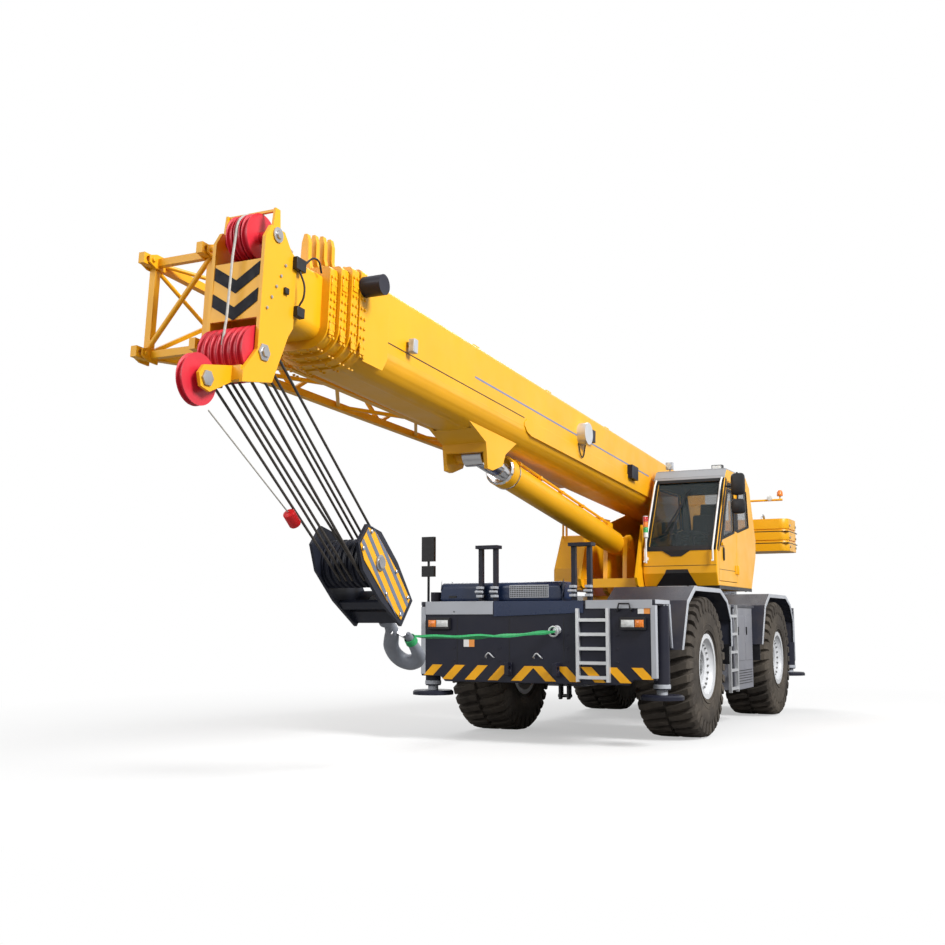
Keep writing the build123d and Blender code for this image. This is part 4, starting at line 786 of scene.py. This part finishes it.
LAMP_Y = 0.62
lamp = Piece()
lamp.box((0.246, CAB_OUT - 0.18, 3.545), (0.004, 0.13, 0.07))
lamp.turn((0.36, LAMP_Y, 3.60), X, [(0, 0.045), (0.03, 0.052), (0.034, 0.05), (0.035, 0.0)], 4)
lamp.make("roof_lamp_lens", "clear", "superstructure")
lamp = Piece()
lamp.rod((0.33, LAMP_Y, 3.50), (0.33, LAMP_Y, 3.57), 0.012)
lamp.box((0.345, LAMP_Y, 3.60), (0.05, 0.105, 0.105))
lamp.make("roof_lamp", "silver", "superstructure", 0.006)


def strip(piece, outline, y, width):
    """Flat seal inside a window outline."""
    points = [Vector((x, y, z)) for x, z in outline]
    inner = []
    for a, p, b in zip(points[-1:] + points[:-1], points, points[1:] + points[:1]):
        u, w = (a - p).normalized(), (b - p).normalized()
        half = (u + w).normalized()
        inner.append(p + half * width / max(0.3, u.cross(half).length))
    for quad in zip(points, points[1:] + points[:1], inner[1:] + inner[:1], inner):
        piece.plate(quad, Y * 0.008)


# Window seals, pillars and door handle
SEAL_Y = 1.444
seals = Piece()
strip(seals, [(-0.11, 2.65), (-0.11, 3.29), (-0.70, 3.29), (-0.80, 2.77)], SEAL_Y, 0.03)
strip(seals, [(-0.80, 2.77), (0.76, 2.50), (0.40, 3.29), (-0.70, 3.29)], 0.428, 0.03)
seals.box((-0.068, CAB_OUT + 0.001, 2.97), (0.08, 0.003, 0.63))
pillar = ((1.05, 2.36), (0.985, 2.335), (0.432, 3.352), (0.482, 3.385))
seals.plate([(x, CAB_OUT, z) for x, z in pillar], Y * 0.003)
seals.make("cab_seals", "rubber", "superstructure")
seals = Piece()
strip(seals, [(0.07, 2.63), (0.76, 2.50), (0.395, 3.23), (0.07, 3.23)], SEAL_Y, 0.032)
handle = ((0.70, 2.24), (0.73, 2.22), (0.75, 2.26), (0.75, 2.36), (0.73, 2.40), (0.70, 2.38))
seals.plate([(x, CAB_OUT + 0.001, z) for x, z in handle], Y * 0.016)
seals.box((0.47, CAB_OUT + 0.0005, 2.10), (0.95, 0.002, 0.006))
seals.box((0.03, CAB_OUT + 0.001, 2.96), (0.08, 0.003, 0.60))
pillar = ((0.77, 2.49), (0.945, 2.335), (0.408, 3.322), (0.07, 3.322), (0.07, 3.236), (0.398, 3.236))
seals.plate([(x, CAB_OUT, z) for x, z in pillar], Y * 0.003)
seals.make("door_seal_and_handle", "rubber", "door")


def rounded(half_y, half_z, power=4.5, count=28):
    """Outline of a box with soft corners."""
    line = []
    for k in range(count):
        a = 2 * pi * (k + 0.5) / count
        y, z = (abs(f) ** (2 / power) * (1 if f > 0 else -1) for f in (cos(a), sin(a)))
        line.append((half_y * y, half_z * z))
    return line


# Cab mirrors with their roof box, and the stack light
MIRROR_Y, STALK_Y = CAB_OUT + 0.24, CAB_OUT + 0.23
MIRRORS = [(z, rounded(0.095, half)) for z, half in ((3.24, 0.15), (2.94, 0.10))]
MIRROR_SHELL = ((0.772, 0.94), (0.777, 1.0), (0.80, 1.0), (0.815, 0.94), (0.825, 0.74))
mirrors = Piece()
for z, line in MIRRORS:
    mirrors.rings([[(x, MIRROR_Y + y * scale, z + h * scale) for y, h in line] for x, scale in MIRROR_SHELL])
MIRROR_ARM = ((0.52, 0.0), (0.52, 0.15), (0.57, 0.225), (0.79, 0.23))
mirrors.hose([(x, CAB_OUT + out, 3.25) for x, out in MIRROR_ARM], 0.014)
mirrors.rod((0.79, STALK_Y, 2.84), (0.79, STALK_Y, 3.40), 0.013)
mirrors.box((0.20, CAB_OUT - 0.18, 3.545), (0.09, 0.15, 0.09))
mirrors = mirrors.make("cab_mirrors", "black", "superstructure")
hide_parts("cab_fittings")
faces = Piece()
for z, line in MIRRORS:
    faces.plate([(0.770, MIRROR_Y + y * 0.88, z + h * 0.92) for y, h in line], X * 0.002)
faces.make("cab_mirror_faces", "chrome", "superstructure")
STACK = Vector((1.10, 0.49, 0))
pole = Piece()
pole.rod(STACK + Z * 2.19, STACK + Z * 2.54, 0.014)
pole.box((1.08, 0.49, 2.25), (0.04, 0.04, 0.04))
pole.turn(STACK + Z * 2.53, Z, [(0, 0.02), (0.01, 0.036), (0.075, 0.036), (0.075, 0.0)])
pole.turn(STACK + Z * 2.822, Z, [(0, 0.036), (0.006, 0.034), (0.009, 0.02), (0.0095, 0.0)])
pole.make("stack_light_pole", "white", "superstructure")
for look, low in (("green", 2.605), ("amber", 2.679), ("ruby", 2.753)):
    sleeve = Piece()
    sleeve.turn(STACK + Z * low, Z, [(0, 0.032), (0.002, 0.034), (0.066, 0.034), (0.069, 0.032)])
    sleeve.make("stack_light_" + look, look, "superstructure")


def pad(at, size, axes, name):
    """Stuffed form whose edges pull in and faces swell between two grooves."""
    bm = bmesh.new()
    bmesh.ops.create_cube(bm, size=2.0)
    bmesh.ops.subdivide_edges(bm, edges=bm.edges, cuts=9, use_grid_fill=True)
    a, b, c = axes
    for v in bm.verts:
        x, y, z = v.co
        rim = max(abs(x), abs(y))
        swell = (1 - x * x) * (1 - y * y)
        groove = 0.10 * (1 - min(1.0, abs(abs(y) - 0.55) / 0.09)) if abs(z) > 0.5 else 0.0
        pull = 1 - 0.06 * (1 - min(1, (1 - rim) * 4)) * z * z
        flat = size[2] / 2 * (0.72 + 0.32 * swell - groove)
        v.co = Vector(at) + a * (x * size[0] / 2 * pull) + b * (y * size[1] / 2 * pull) + c * (z * flat)
    obj = add_mesh(bm, name, "seat")
    sub = obj.modifiers.new("smooth", "SUBSURF")
    sub.levels = sub.render_levels = 1
    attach(obj, "superstructure")
    return obj


# Seat: cushion, back and headrest on a frame, with arm rests and monitor
BACK_UP = Vector((-0.15, 0, 0.66)).normalized()
BACK_AXES = (BACK_UP, Y, Vector((BACK_UP.z, 0, -BACK_UP.x)))
seat = pad((-0.23, CAB_MID, 2.29), (0.52, 0.52, 0.15), (X, Y, Z), "seat_cushion")
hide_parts("cab_seat")
pad((-0.468, CAB_MID, 2.66), (0.62, 0.48, 0.15), BACK_AXES, "seat_back")
pad((-0.575, CAB_MID, 3.04), (0.16, 0.28, 0.10), BACK_AXES, "seat_headrest")
inside = Piece()
inside.box((-0.25, CAB_MID, 2.07), (0.34, 0.34, 0.27))
inside.box((-0.25, CAB_MID, 2.205), (0.44, 0.42, 0.03))
for y in (0.66, 1.22):
    inside.box((-0.22, y, 2.50), (0.34, 0.06, 0.05))
    inside.rod((-0.36, y, 2.25), (-0.36, y, 2.49), 0.014)
inside.box((0.36, 0.60, 2.72), (0.03, 0.22, 0.16))
inside.rod((0.37, 0.60, 2.42), (0.37, 0.60, 2.66), 0.014)
inside.make("seat_frame_and_monitor", "black", "superstructure", 0.006)

# Counterweight seams, lifting eyes, beacon arm and rear lamp
seams = Piece()
for z in (2.69, 2.88):
    seams.box((-3.375, 0, z), (0.754, 3.164, 0.014))
seams.make("counterweight_seams", "black", "superstructure")
EYE = ((-3.47, 3.08), (-3.45, 3.15), (-3.38, 3.185), (-3.31, 3.15), (-3.29, 3.08))
eyes = Piece()
for y in (-1.1, 1.1):
    eyes.hose([(x, y, z) for x, z in EYE], 0.018)
for side in BOTH:
    for z in (2.63, 2.785, 2.98):
        for x in (-3.60, -3.15):
            eyes.bolt((x, side * 1.58, z), Y * side, 0.022, 0.014)
eyes.make("counterweight_eyes", "steel", "superstructure")
ARM_X, ARM_Z, BEACON_Y = -3.05, 3.40, 1.46
arm = Piece()
arm.rod((ARM_X, 0.62, 3.08), (ARM_X, 0.62, ARM_Z), 0.020)
arm.rod((ARM_X, 0.60, ARM_Z), (ARM_X, 1.50, ARM_Z), 0.018)
arm.rod((ARM_X, BEACON_Y, ARM_Z), (ARM_X, BEACON_Y, 3.46), 0.012)
arm.make("beacon_arm", "yellow", "superstructure")
dome = Piece()
dome.turn((ARM_X, BEACON_Y, 3.46), Z, [(0, 0.045), (0.02, 0.05), (0.07, 0.046), (0.095, 0.03), (0.102, 0.0)], 20)
dome.make("beacon", "amber", "superstructure")
lamp = Piece()
lamp.turn((ARM_X, 1.30, 3.43), X, [(0, 0.03), (0.04, 0.045), (0.045, 0.04), (0.046, 0.0)], 16)
lamp.make("rear_work_lamp", "clear", "superstructure")

# Winch windings
WINDING_STEPS = 28
wound = Piece()
for x, z, radius in ((-1.65, 2.30, 0.225), (-2.48, 2.40, 0.20)):
    for k in range(22):
        coil = circle((x, -0.275 + 0.025 * k, z), X, Z, radius, WINDING_STEPS)
        wound.pipe([p + Y * (0.012 * i / WINDING_STEPS) for i, p in enumerate(coil)], 0.0125, 6, True)
wound.make("winch_rope", "rope", "superstructure")

# Valve cover louvres, platform rail, turntable hoses and pivot caps
COVER_Y, RAIL_Y = -0.934, -0.86
louvre = Piece()
for k in range(9):
    louvre.box((-0.62, -0.932, 2.02 + 0.06 * k), (0.95, 0.012, 0.022))
for x in (-1.1, 0.1):
    louvre.rod((x, COVER_Y, 2.60), (x + 0.12, COVER_Y, 2.60), 0.012)
louvre.box((0.35, COVER_Y, 2.30), (0.03, 0.02, 0.12))
louvre.make("cover_louvres", "black", "superstructure", 0.002)
rail = Piece()
for x in (-1.25, -0.3, 0.6):
    rail.rod((x, RAIL_Y, 2.63), (x, RAIL_Y, 3.0), 0.016)
rail.pipe([(x, RAIL_Y, z) for x, z in ((-1.25, 3.0), (-0.3, 3.0), (0.6, 3.0), (0.72, 2.9), (0.74, 2.58))], 0.016)
rail.make("platform_rail", "yellow", "superstructure")
lines = Piece()
for y in (0.46, 0.50, 0.54):
    lines.hose([(-0.95, y, 1.95), (-1.05, y, 2.2), (-1.3, y - 0.01, 2.4), (-1.7, y - 0.03, 2.5)], 0.014)
lines.hose([(-0.92, 1.35, 1.86), (-1.02, 1.36, 1.90), (-1.04, 1.36, 2.02), (-0.98, 1.36, 2.12)], 0.022)
for side in BOTH:
    line = ((0.2, 0.435, 1.95), (0.5, 0.44, 2.2), (0.62, 0.44, 2.38), (0.66, 0.43, 2.44))
    lines.hose([(x, side * y, z) for x, y, z in line], 0.016)
lines.make("turntable_hoses", "rubber", "superstructure")
pins = Piece()
for side in BOTH:
    out = Y * side
    pins.turn(FOOT + out * 0.42, out, [(0, 0.15), (0.02, 0.15), (0.028, 0.14), (0.028, 0.0)], 28)
    for at in circle(FOOT + out * 0.446, X, Z, 0.11, 6):
        pins.bolt(at, out, 0.018, 0.016)
    pins.turn(RAM_LOW + out * 0.42, out, [(0, 0.11), (0.02, 0.11), (0.026, 0.1), (0.026, 0.0)])
pins.make("pivot_caps", "slate", "superstructure")

# Lift cylinder: gland rings, port pipe and gland bolts
gland = Piece()
gland.turn(ram(3.965, 0, 0), RAM, [(0, 0.172), (0.012, 0.172), (0.03, 0.15), (0.032, 0.112)], 40)
gland.turn(ram(3.80, 0, 0), RAM, [(0, 0.158), (0.006, 0.181), (0.02, 0.181), (0.026, 0.158)], 40)
gland.make("gland_ring", "chrome", "ram_barrel")
PORT_Y = 0.05
port = Piece()
port.pipe([ram(a, PORT_Y, up) for a, up in ((0.62, 0.16), (0.66, 0.185), (3.70, 0.185), (3.76, 0.165))], 0.018, 10)
for a in (0.9, 1.6, 2.3, 3.0, 3.6):
    port.box(ram(a, PORT_Y, 0.172), (0.05, 0.07, 0.035), RAM_AXES)
port.box(ram(0.55, 0.0, 0.17), (0.16, 0.14, 0.07), RAM_AXES)
for at in circle(ram(3.97, 0, 0), Y, RAM_UP, 0.163, 12):
    port.bolt(at, RAM, 0.011, 0.012)
port.make("cylinder_pipe", "yellow", "ram_barrel")


def flank(outline, side, half=BOOM_HALF):
    """Outline laid on a side of the boom."""
    return [boom(u, side * half, v) for u, v in outline]


# Boom base: pinstripe, seams, side doublers and top lugs
PINSTRIPE = ((2.8, 0.208), (8.4, 0.208), (8.4, 0.228), (2.8, 0.228))
SEAM = ((7.17, 0.074), (10.12, 0.074), (10.12, 0.084), (7.17, 0.084))
DOUBLER = ((2.2, 0.08), (2.2, -0.09), (6.98, -0.09), (7.1, -0.065), (7.17, -0.01), (7.17, 0.03), (7.1, 0.08))
CHEEK = ((10.20, -0.2), (10.52, -0.2), (10.52, 0.5), (10.20, 0.5), (10.12, 0.38), (10.12, -0.08))
for name, look, outline, thick in (
    ("boom_pinstripe", "pin_blue", PINSTRIPE, 0.0015), ("boom_seams", "black", SEAM, 0.002),
):
    mark = Piece()
    for side in BOTH:
        mark.plate(flank(outline, side), Y * side * thick)
    mark.make(name, look, "boom")
doubler = Piece()
for side in BOTH:
    doubler.plate(flank(DOUBLER, side), Y * side * 0.009)
    for u in (8.07, 6.12, 4.10):
        top_lug = ((u - 0.12, 0.548), (u + 0.12, 0.548), (u + 0.07, 0.655), (u - 0.07, 0.655))
        doubler.plate(flank(top_lug, side, 0.17), Y * side * 0.022)
    doubler.plate(flank(CHEEK, side), Y * side * 0.008)
doubler.make("boom_doublers", "yellow", "boom", 0.003)


def collar(piece, u, half, low, high, count=9):
    """Bolts round a boom collar."""
    for side in BOTH:
        for k in range(count):
            v = low + 0.09 + (high - low - 0.18) * k / (count - 1)
            piece.bolt(boom(u, side * half, v), Y * side, 0.014, 0.014)
    for k in range(5):
        y = -half + 0.1 + (2 * half - 0.2) * k / 4
        piece.bolt(boom(u, y, low), -RISE, 0.014, 0.014)
        piece.bolt(boom(u, y, high), RISE, 0.014, 0.014)


# Collars of the base and sections 2 to 4, each a step smaller
COLLAR_U, COLLAR_PITCH, COLLAR_STEP, BASE_TRIM = 10.5725, 0.115, 0.032, 0.018
for index, body in enumerate(("boom", "section_2", "section_3", "section_4")):
    less = COLLAR_STEP * index if index else BASE_TRIM
    half, low, high = 0.39 - less, -0.29 + less, 0.59 - less
    u = COLLAR_U + COLLAR_PITCH * index
    studs = Piece()
    collar(studs, u - 0.025, half, low, high)
    collar(studs, u + 0.025, half, low, high)
    studs.make("collar_bolts_%d" % (index + 1), "yellow", body)
    pads = Piece()
    for side in BOTH:
        for v in (low + 0.16, high - 0.16):
            pads.box(boom(u, side * (half + 0.004), v), (0.07, 0.012, 0.10), BOOM_AXES)
    pads.make("wear_pads_%d" % (index + 1), "yellow", body, 0.003)

# Rope on the base section and cable on the side reel
rope = Piece()
rope.pipe([boom(u, 0.0, 0.565) for u in (0.1, 3.0, 6.0, 10.2)] + [boom(10.55, 0.0, 0.66)], 0.011)
rope.make("top_rope_base", "line", "boom")
CABLE = ((5.36, 0.37, 0.17), (5.42, 0.375, 0.02), (5.47, 0.375, -0.03), (5.54, 0.375, 0.0), (5.60, 0.37, 0.12))
cable = Piece()
cable.hose([boom(*p) for p in CABLE], 0.008)
for k in range(7):
    cable.pipe(circle(boom(5.48, 0.455, 0.255), ALONG, RISE, 0.075 + 0.009 * k, 24), 0.005, 6, True)
cable.make("reel_cable", "rubber", "boom")

# Boom head: chevrons, sheave pins and front rope
CHEVRON_TOP, CHEVRON_HALF = 0.255, 0.21


def on_head(y, v):
    """Point on the sloping front of the boom head."""
    return boom(11.7815 + (0.275 - v) / 0.465 * 0.012, y, v)


chevron = Piece()
for top in (CHEVRON_TOP, CHEVRON_TOP - 0.215):
    for side in BOTH:
        y = side * CHEVRON_HALF
        points = [on_head(0.0, top - 0.13), on_head(y, top), on_head(y, top - 0.105), on_head(0.0, top - 0.235)]
        chevron.plate(points, ALONG * 0.004)
chevron.make("head_chevrons", "mark", "section_5")
TOP_PIN = (11.64, 0.505)
nuts = Piece()
for side in BOTH:
    for u, v, r, sides in ((11.72, -0.45, 0.07, 6), (*TOP_PIN, 0.06, 20)):
        profile = [(0, r), (0.012, r), (0.016, r * 0.6), (0.03, r * 0.55), (0.03, 0.0)]
        nuts.turn(boom(u, side * HEAD_HALF, v), Y * side, profile, sides)
    for k in range(5):
        nuts.bolt(boom(11.52 + 0.05 * k, side * HEAD_HALF, 0.30 - 0.1 * k), Y * side, 0.013, 0.012)
nuts.turn(boom(12.215, 0.145, -0.765), Y, [(0, 0.06), (0.015, 0.06), (0.02, 0.03), (0.02, 0.0)], 6)
nuts.make("head_pins", "steel", "section_5")
front = Piece()
front.pipe([boom(11.10, 0.0, 0.60), boom(11.40, 0.0, 0.675), boom(11.58, 0.0, 0.692)], 0.010)
angles = [radians(95 - 12 * k) for k in range(9)]
arc = [boom(TOP_PIN[0] + 0.187 * cos(a), 0.0, TOP_PIN[1] + 0.187 * sin(a)) for a in angles]
front.pipe(arc + [boom(11.85, 0.0, 0.3), boom(11.87, 0.0, -0.2), boom(11.90, 0.0, -0.42)], 0.010)
front.make("head_rope", "line", "section_5")

# Small fittings at the boom's end: work lamp, switch boxes with cables, jib ears and braces
lamp = Piece()
lamp.box(boom(9.72, 0.372, 0.17), (0.10, 0.05, 0.03), BOOM_AXES)
lamp.box(boom(9.76, 0.405, 0.14), (0.07, 0.06, 0.13), BOOM_AXES)
lamp.make("boom_work_lamp", "silver", "boom", 0.006)
lamp = Piece()
lamp.box(boom(9.799, 0.405, 0.14), (0.006, 0.05, 0.11), BOOM_AXES)
lamp.make("boom_work_lamp_lens", "clear", "boom")
SWITCHES = (
    ((11.36, 0.262, 0.36), (0.13, 0.05, 0.10)), ((11.33, 0.262, -0.02), (0.10, 0.05, 0.08)),
    ((11.50, 0.255, 0.10), (0.05, 0.03, 0.05)),
)
SWITCH_CABLES = (
    ((11.36, 0.27, 0.31), (11.33, 0.30, 0.20), (11.33, 0.30, 0.10), (11.34, 0.27, 0.03)),
    ((11.30, 0.27, 0.38), (11.22, 0.29, 0.46), (11.12, 0.28, 0.47), (11.05, 0.262, 0.40)),
)
boxes = Piece()
for at, size in SWITCHES:
    boxes.box(boom(*at), size, BOOM_AXES)
for line in SWITCH_CABLES:
    boxes.hose([boom(*p) for p in line], 0.009)
boxes.make("head_switch_boxes", "black", "section_5", 0.004)
JIB_NEAR, JIB_FAR, JIB_LOW, JIB_HIGH = -0.48, -1.07, -0.285, 0.505
EAR = ((-0.06, -0.06), (0.05, -0.06), (0.13, -0.03), (0.13, 0.03), (0.05, 0.06), (-0.06, 0.06))
ears = Piece()
for y in (JIB_NEAR, JIB_FAR):
    for v in (JIB_LOW, JIB_HIGH):
        for d in (-0.045, 0.045):
            ears.plate([boom(11.50 + a, y + d - 0.008, v + b) for a, b in EAR], Y * 0.016)
        ears.rod(boom(11.59, y - 0.07, v), boom(11.59, y + 0.07, v), 0.018)
ears.rod(boom(11.53, JIB_FAR, -0.25), boom(11.53, JIB_NEAR, 0.47), 0.022)
for v, end_v in ((JIB_LOW, -0.11), (JIB_HIGH, 0.45)):
    ears.rod(boom(11.54, JIB_FAR, v), boom(10.38, JIB_NEAR, end_v), 0.018)
ears.rod(boom(11.54, JIB_FAR, 0.48), boom(10.38, -1.0, -0.08), 0.018)
ears.make("jib_ears_and_braces", "yellow", "boom", 0.003)

# Rope falls; the front strands cross to the next groove
GROOVES = [row * 0.06 for row in (-3, -1, 0, 1, 3)]
SHEAVE_RADIUS, ROPE_RADIUS = 0.2, 0.011
falls = Piece()
for y, cross in zip(GROOVES, GROOVES[1:] + GROOVES[-1:]):
    drops = [(k / 8, FALL_LENGTH * k / 8) for k in range(9)]
    falls.pipe([fall(-SHEAVE_RADIUS, y, drop) for t, drop in drops], ROPE_RADIUS)
    falls.pipe([fall(SHEAVE_RADIUS, y + (cross - y) * t, drop) for t, drop in drops], ROPE_RADIUS)
falls = falls.make("rope_falls", "rope", "falls")
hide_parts("hoist_ropes")
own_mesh(falls)


def cheek(outline, y):
    """Outline laid on a cheek of the hook block, up from its pin."""
    return [fall(x, y, FALL_LENGTH - h) for x, h in outline]


# Hook block: striped plates, pin caps and bolts
PLATE_Y, PLATE_FACE, PLATE_TOP, PLATE_LOW = 0.245, 0.251, 0.33, -0.60
PLATE = [
    (-0.10, PLATE_TOP), (0.10, PLATE_TOP), (0.155, 0.20), (0.155, -0.30),
    (0.12, PLATE_LOW), (-0.12, PLATE_LOW), (-0.155, -0.30), (-0.155, 0.20),
]
PLATE_BOLTS = ((-0.10, 0.28), (0.10, 0.28), (-0.13, -0.25), (0.13, -0.25), (-0.1, -0.55), (0.1, -0.55))
plates, bands, caps = Piece(), Piece(), Piece()
for side in BOTH:
    out = Y * side
    plates.plate(cheek(PLATE, side * PLATE_Y), out * 0.006)
    for x in (-0.20, -0.085, 0.03):
        outline = [(x, PLATE_TOP), (x + 0.045, PLATE_TOP), (x + 0.175, PLATE_LOW), (x + 0.13, PLATE_LOW)]
        outline = clip(clip(outline, 0, -0.15, 1), 0, 0.15, -1)
        bands.plate(cheek(outline, side * PLATE_FACE), out * 0.002)
    profile = [(0, 0.07), (0.014, 0.07), (0.018, 0.05), (0.03, 0.05), (0.03, 0.0)]
    caps.turn(fall(0, side * PLATE_FACE, FALL_LENGTH), out, profile)
    for at in cheek(PLATE_BOLTS, side * PLATE_FACE):
        caps.bolt(at, out, 0.018, 0.016)
plates.make("block_plates", "yellow", "block", 0.002)
bands.make("block_bands", "band", "block")
caps.make("block_caps", "steel", "block")

# Forged hook: across, up and half depth along its centre line, from the swivel to the point
BOWL_DROP, HOOK_FLAT = 3.45, 0.85
HOOK_LINE = (
    (0.0, 0.74, 0.055), (0.0, 0.55, 0.055), (0.0, 0.40, 0.056), (-0.012, 0.30, 0.064),
    (-0.062, 0.20, 0.070), (-0.112, 0.09, 0.073), (-0.120, -0.02, 0.076), (-0.085, -0.105, 0.080),
    (-0.015, -0.138, 0.082), (0.055, -0.122, 0.077), (0.108, -0.070, 0.068), (0.129, 0.005, 0.060),
    (0.131, 0.09, 0.053), (0.130, 0.17, 0.045), (0.136, 0.235, 0.035), (0.146, 0.272, 0.017),
)
forged = Piece()
line = curve(HOOK_LINE, 4)
rings = []
for before, at, after in zip([line[0]] + line, line, line[1:] + [line[-1]]):
    flow = (after - before).xy.normalized()
    centre = fall(0, at.x, BOWL_DROP - at.y)
    rings.append(circle(centre, Y * flow.y - FALL_UP * flow.x, FALL_X * HOOK_FLAT, at.z, 16))
forged.rings(rings)
forged.turn(fall(0, 0, BOWL_DROP - 0.50), -FALL_UP, [(0, 0.062), (0.01, 0.078), (0.06, 0.078), (0.075, 0.058)])
forged = forged.make("forged_hook", "hook", "swivel_hook")
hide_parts("hook")
tip, root = fall(0, 0.104, BOWL_DROP - 0.215), fall(0, 0.02, BOWL_DROP - 0.335)
across = (tip - root).normalized()
latch = Piece()
latch.box((tip + root) / 2, ((tip - root).length, 0.05, 0.012), (across, FALL_X, across.cross(FALL_X)))
latch.rod(root - FALL_X * 0.07, root + FALL_X * 0.07, 0.012)
latch.make("hook_latch", "steel", "swivel_hook", 0.003)

# Weight of the hoist limit switch against the foremost strand, on its line from the nose
top, low = boom(12.06, 0.05, -0.955), fall(0.275, -0.105, 1.38)
line = Piece()
line.pipe([top.lerp(low, k / 12) for k in range(13)], 0.006, 6)
line = line.make("limit_line", "line", None)
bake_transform(line)
weight = Piece()
profile = [(0, 0.02), (0.015, 0.048), (0.02, 0.052), (0.14, 0.052), (0.15, 0.046), (0.155, 0.015)]
weight.turn(low + FALL_UP * 0.02, -FALL_UP, profile, 20)
weight.make("limit_weight", "weight", "falls")

# Strap from the ring on the front panel to a loop round the hook's point
STRAP_STEPS, STRAP_SAG = 32, 0.03
a, b = Vector((3.90, 0.27, 1.29)), fall(-0.05, 0.13, BOWL_DROP - 0.175)
flow = (b - a).normalized()
level = flow.cross(Z).normalized()
upright = level.cross(flow)
rings = []
for k in range(STRAP_STEPS + 1):
    t = k / STRAP_STEPS
    at = a.lerp(b, t) - Z * STRAP_SAG * sin(pi * t)
    twist = 0.35 * sin(7 * t) + 0.2 * sin(19 * t)
    wide = (level * cos(twist) + upright * sin(twist)) * (0.032 + 0.006 * sin(23 * t))
    n = upright * cos(twist) - level * sin(twist)
    rings.append([at + wide + n * 0.008, at - wide + n * 0.012, at - wide - n * 0.008, at + wide - n * 0.012])
strap = Piece()
strap.rings(rings)
strap = strap.make("hook_strap", "strap", None)
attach(strap, "carrier")
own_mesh(strap)
loop = Piece()
profile = [(0, 0.049), (0.06, 0.045), (0.06, 0.053), (0, 0.057)]
loop.turn(fall(0, 0.131, BOWL_DROP - 0.145), FALL_UP, profile, closed=True)
loop.make("hook_strap_loop", "strap", "swivel_hook")


def blended(tree, factor, a, b):
    """Mix of two shader outputs."""
    made = node(tree, "ShaderNodeMixShader", Fac=factor)
    tree.links.new(a, made.inputs[1])
    tree.links.new(b, made.inputs[2])
    return made.outputs["Shader"]


# Floor: white for the camera away from the object, plain for light, clear from below
floor_mat, tree, shader = base("pale_floor", (0.80, 0.80, 0.80), 0.95)
shader.inputs["Specular IOR Level"].default_value = 0.0
camera_ray = node(tree, "ShaderNodeLightPath").outputs["Is Camera Ray"]
tone = mix(tree, camera_ray, (0.26, 0.26, 0.26, 1), (0.82, 0.82, 0.82, 1))
tree.links.new(tone, shader.inputs["Base Color"])
glow = node(tree, "ShaderNodeEmission", Color=(1, 1, 1, 1)).outputs["Emission"]
reach = node(tree, "ShaderNodeVectorMath")
reach.operation = "LENGTH"
tree.links.new(node(tree, "ShaderNodeTexCoord").outputs["Object"], reach.inputs[0])
far = node(
    tree, "ShaderNodeMapRange", Value=reach.outputs["Value"],
    From_Min=4.5, From_Max=11.0, To_Min=0.45, To_Max=1.0,
)
white = math(tree, "MULTIPLY", camera_ray, far.outputs["Result"])
lit = blended(tree, white, shader.outputs["BSDF"], glow)
under = node(tree, "ShaderNodeNewGeometry").outputs["Backfacing"]
clear = node(tree, "ShaderNodeBsdfTransparent").outputs["BSDF"]
tree.links.new(blended(tree, under, lit, clear), tree.nodes["Material Output"].inputs["Surface"])
bpy.ops.mesh.primitive_plane_add(size=400, location=(0, 0, -0.002))
floor = bpy.context.object
floor.name = "floor"
floor.data.materials.append(floor_mat)
floor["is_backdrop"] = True

# World: soft light, white where it is seen directly, in glass or in metal
WORLD_LIGHT = 0.42
world = bpy.data.worlds.new("studio")
bpy.context.scene.world = world
world.use_nodes = True
tree = world.node_tree
sky = tree.nodes["Background"]
sky.inputs["Color"].default_value = (1, 1, 1, 1)
path = node(tree, "ShaderNodeLightPath").outputs
seen = math(tree, "MAXIMUM", path["Is Camera Ray"], path["Is Transmission Ray"])
seen = math(tree, "MAXIMUM", seen, path["Is Glossy Ray"])
strength = math(tree, "ADD", math(tree, "MULTIPLY", seen, 1 - WORLD_LIGHT), WORLD_LIGHT)
tree.links.new(strength, sky.inputs["Strength"])


def aim(obj, direction):
    """Point a light or camera."""
    obj.rotation_euler = Vector(direction).to_track_quat("-Z", "Y").to_euler()
    bpy.context.collection.objects.link(obj)


def area(name, at, target, size, power):
    light = bpy.data.lights.new(name, "AREA")
    light.energy = power
    light.size = size
    obj = bpy.data.objects.new(name, light)
    obj.location = at
    aim(obj, Vector(target) - Vector(at))
    obj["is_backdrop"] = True


area("key", (9, 17, 15), (3, 0, 2.0), 7, 6200)
area("fill", (20, -6, 9), (3, 0, 1.5), 10, 1000)
area("back", (-12, -8, 14), (0, 0, 2), 10, 1500)

# Camera fitted to the photograph
FOCAL_PIXELS, IMAGE_PIXELS, SENSOR = 1172.1, 945, 36.0
view = bpy.data.cameras.new("photo_camera")
view.sensor_width = SENSOR
view.lens = FOCAL_PIXELS / IMAGE_PIXELS * SENSOR
view.clip_end = 500
camera = bpy.data.objects.new("photo_camera", view)
camera.location = (16.384, 5.416, 1.377)
aim(camera, (-0.889, -0.439, 0.128))
bpy.context.scene.camera = camera
bpy.context.scene.view_settings.view_transform = "Standard"

low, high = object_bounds()
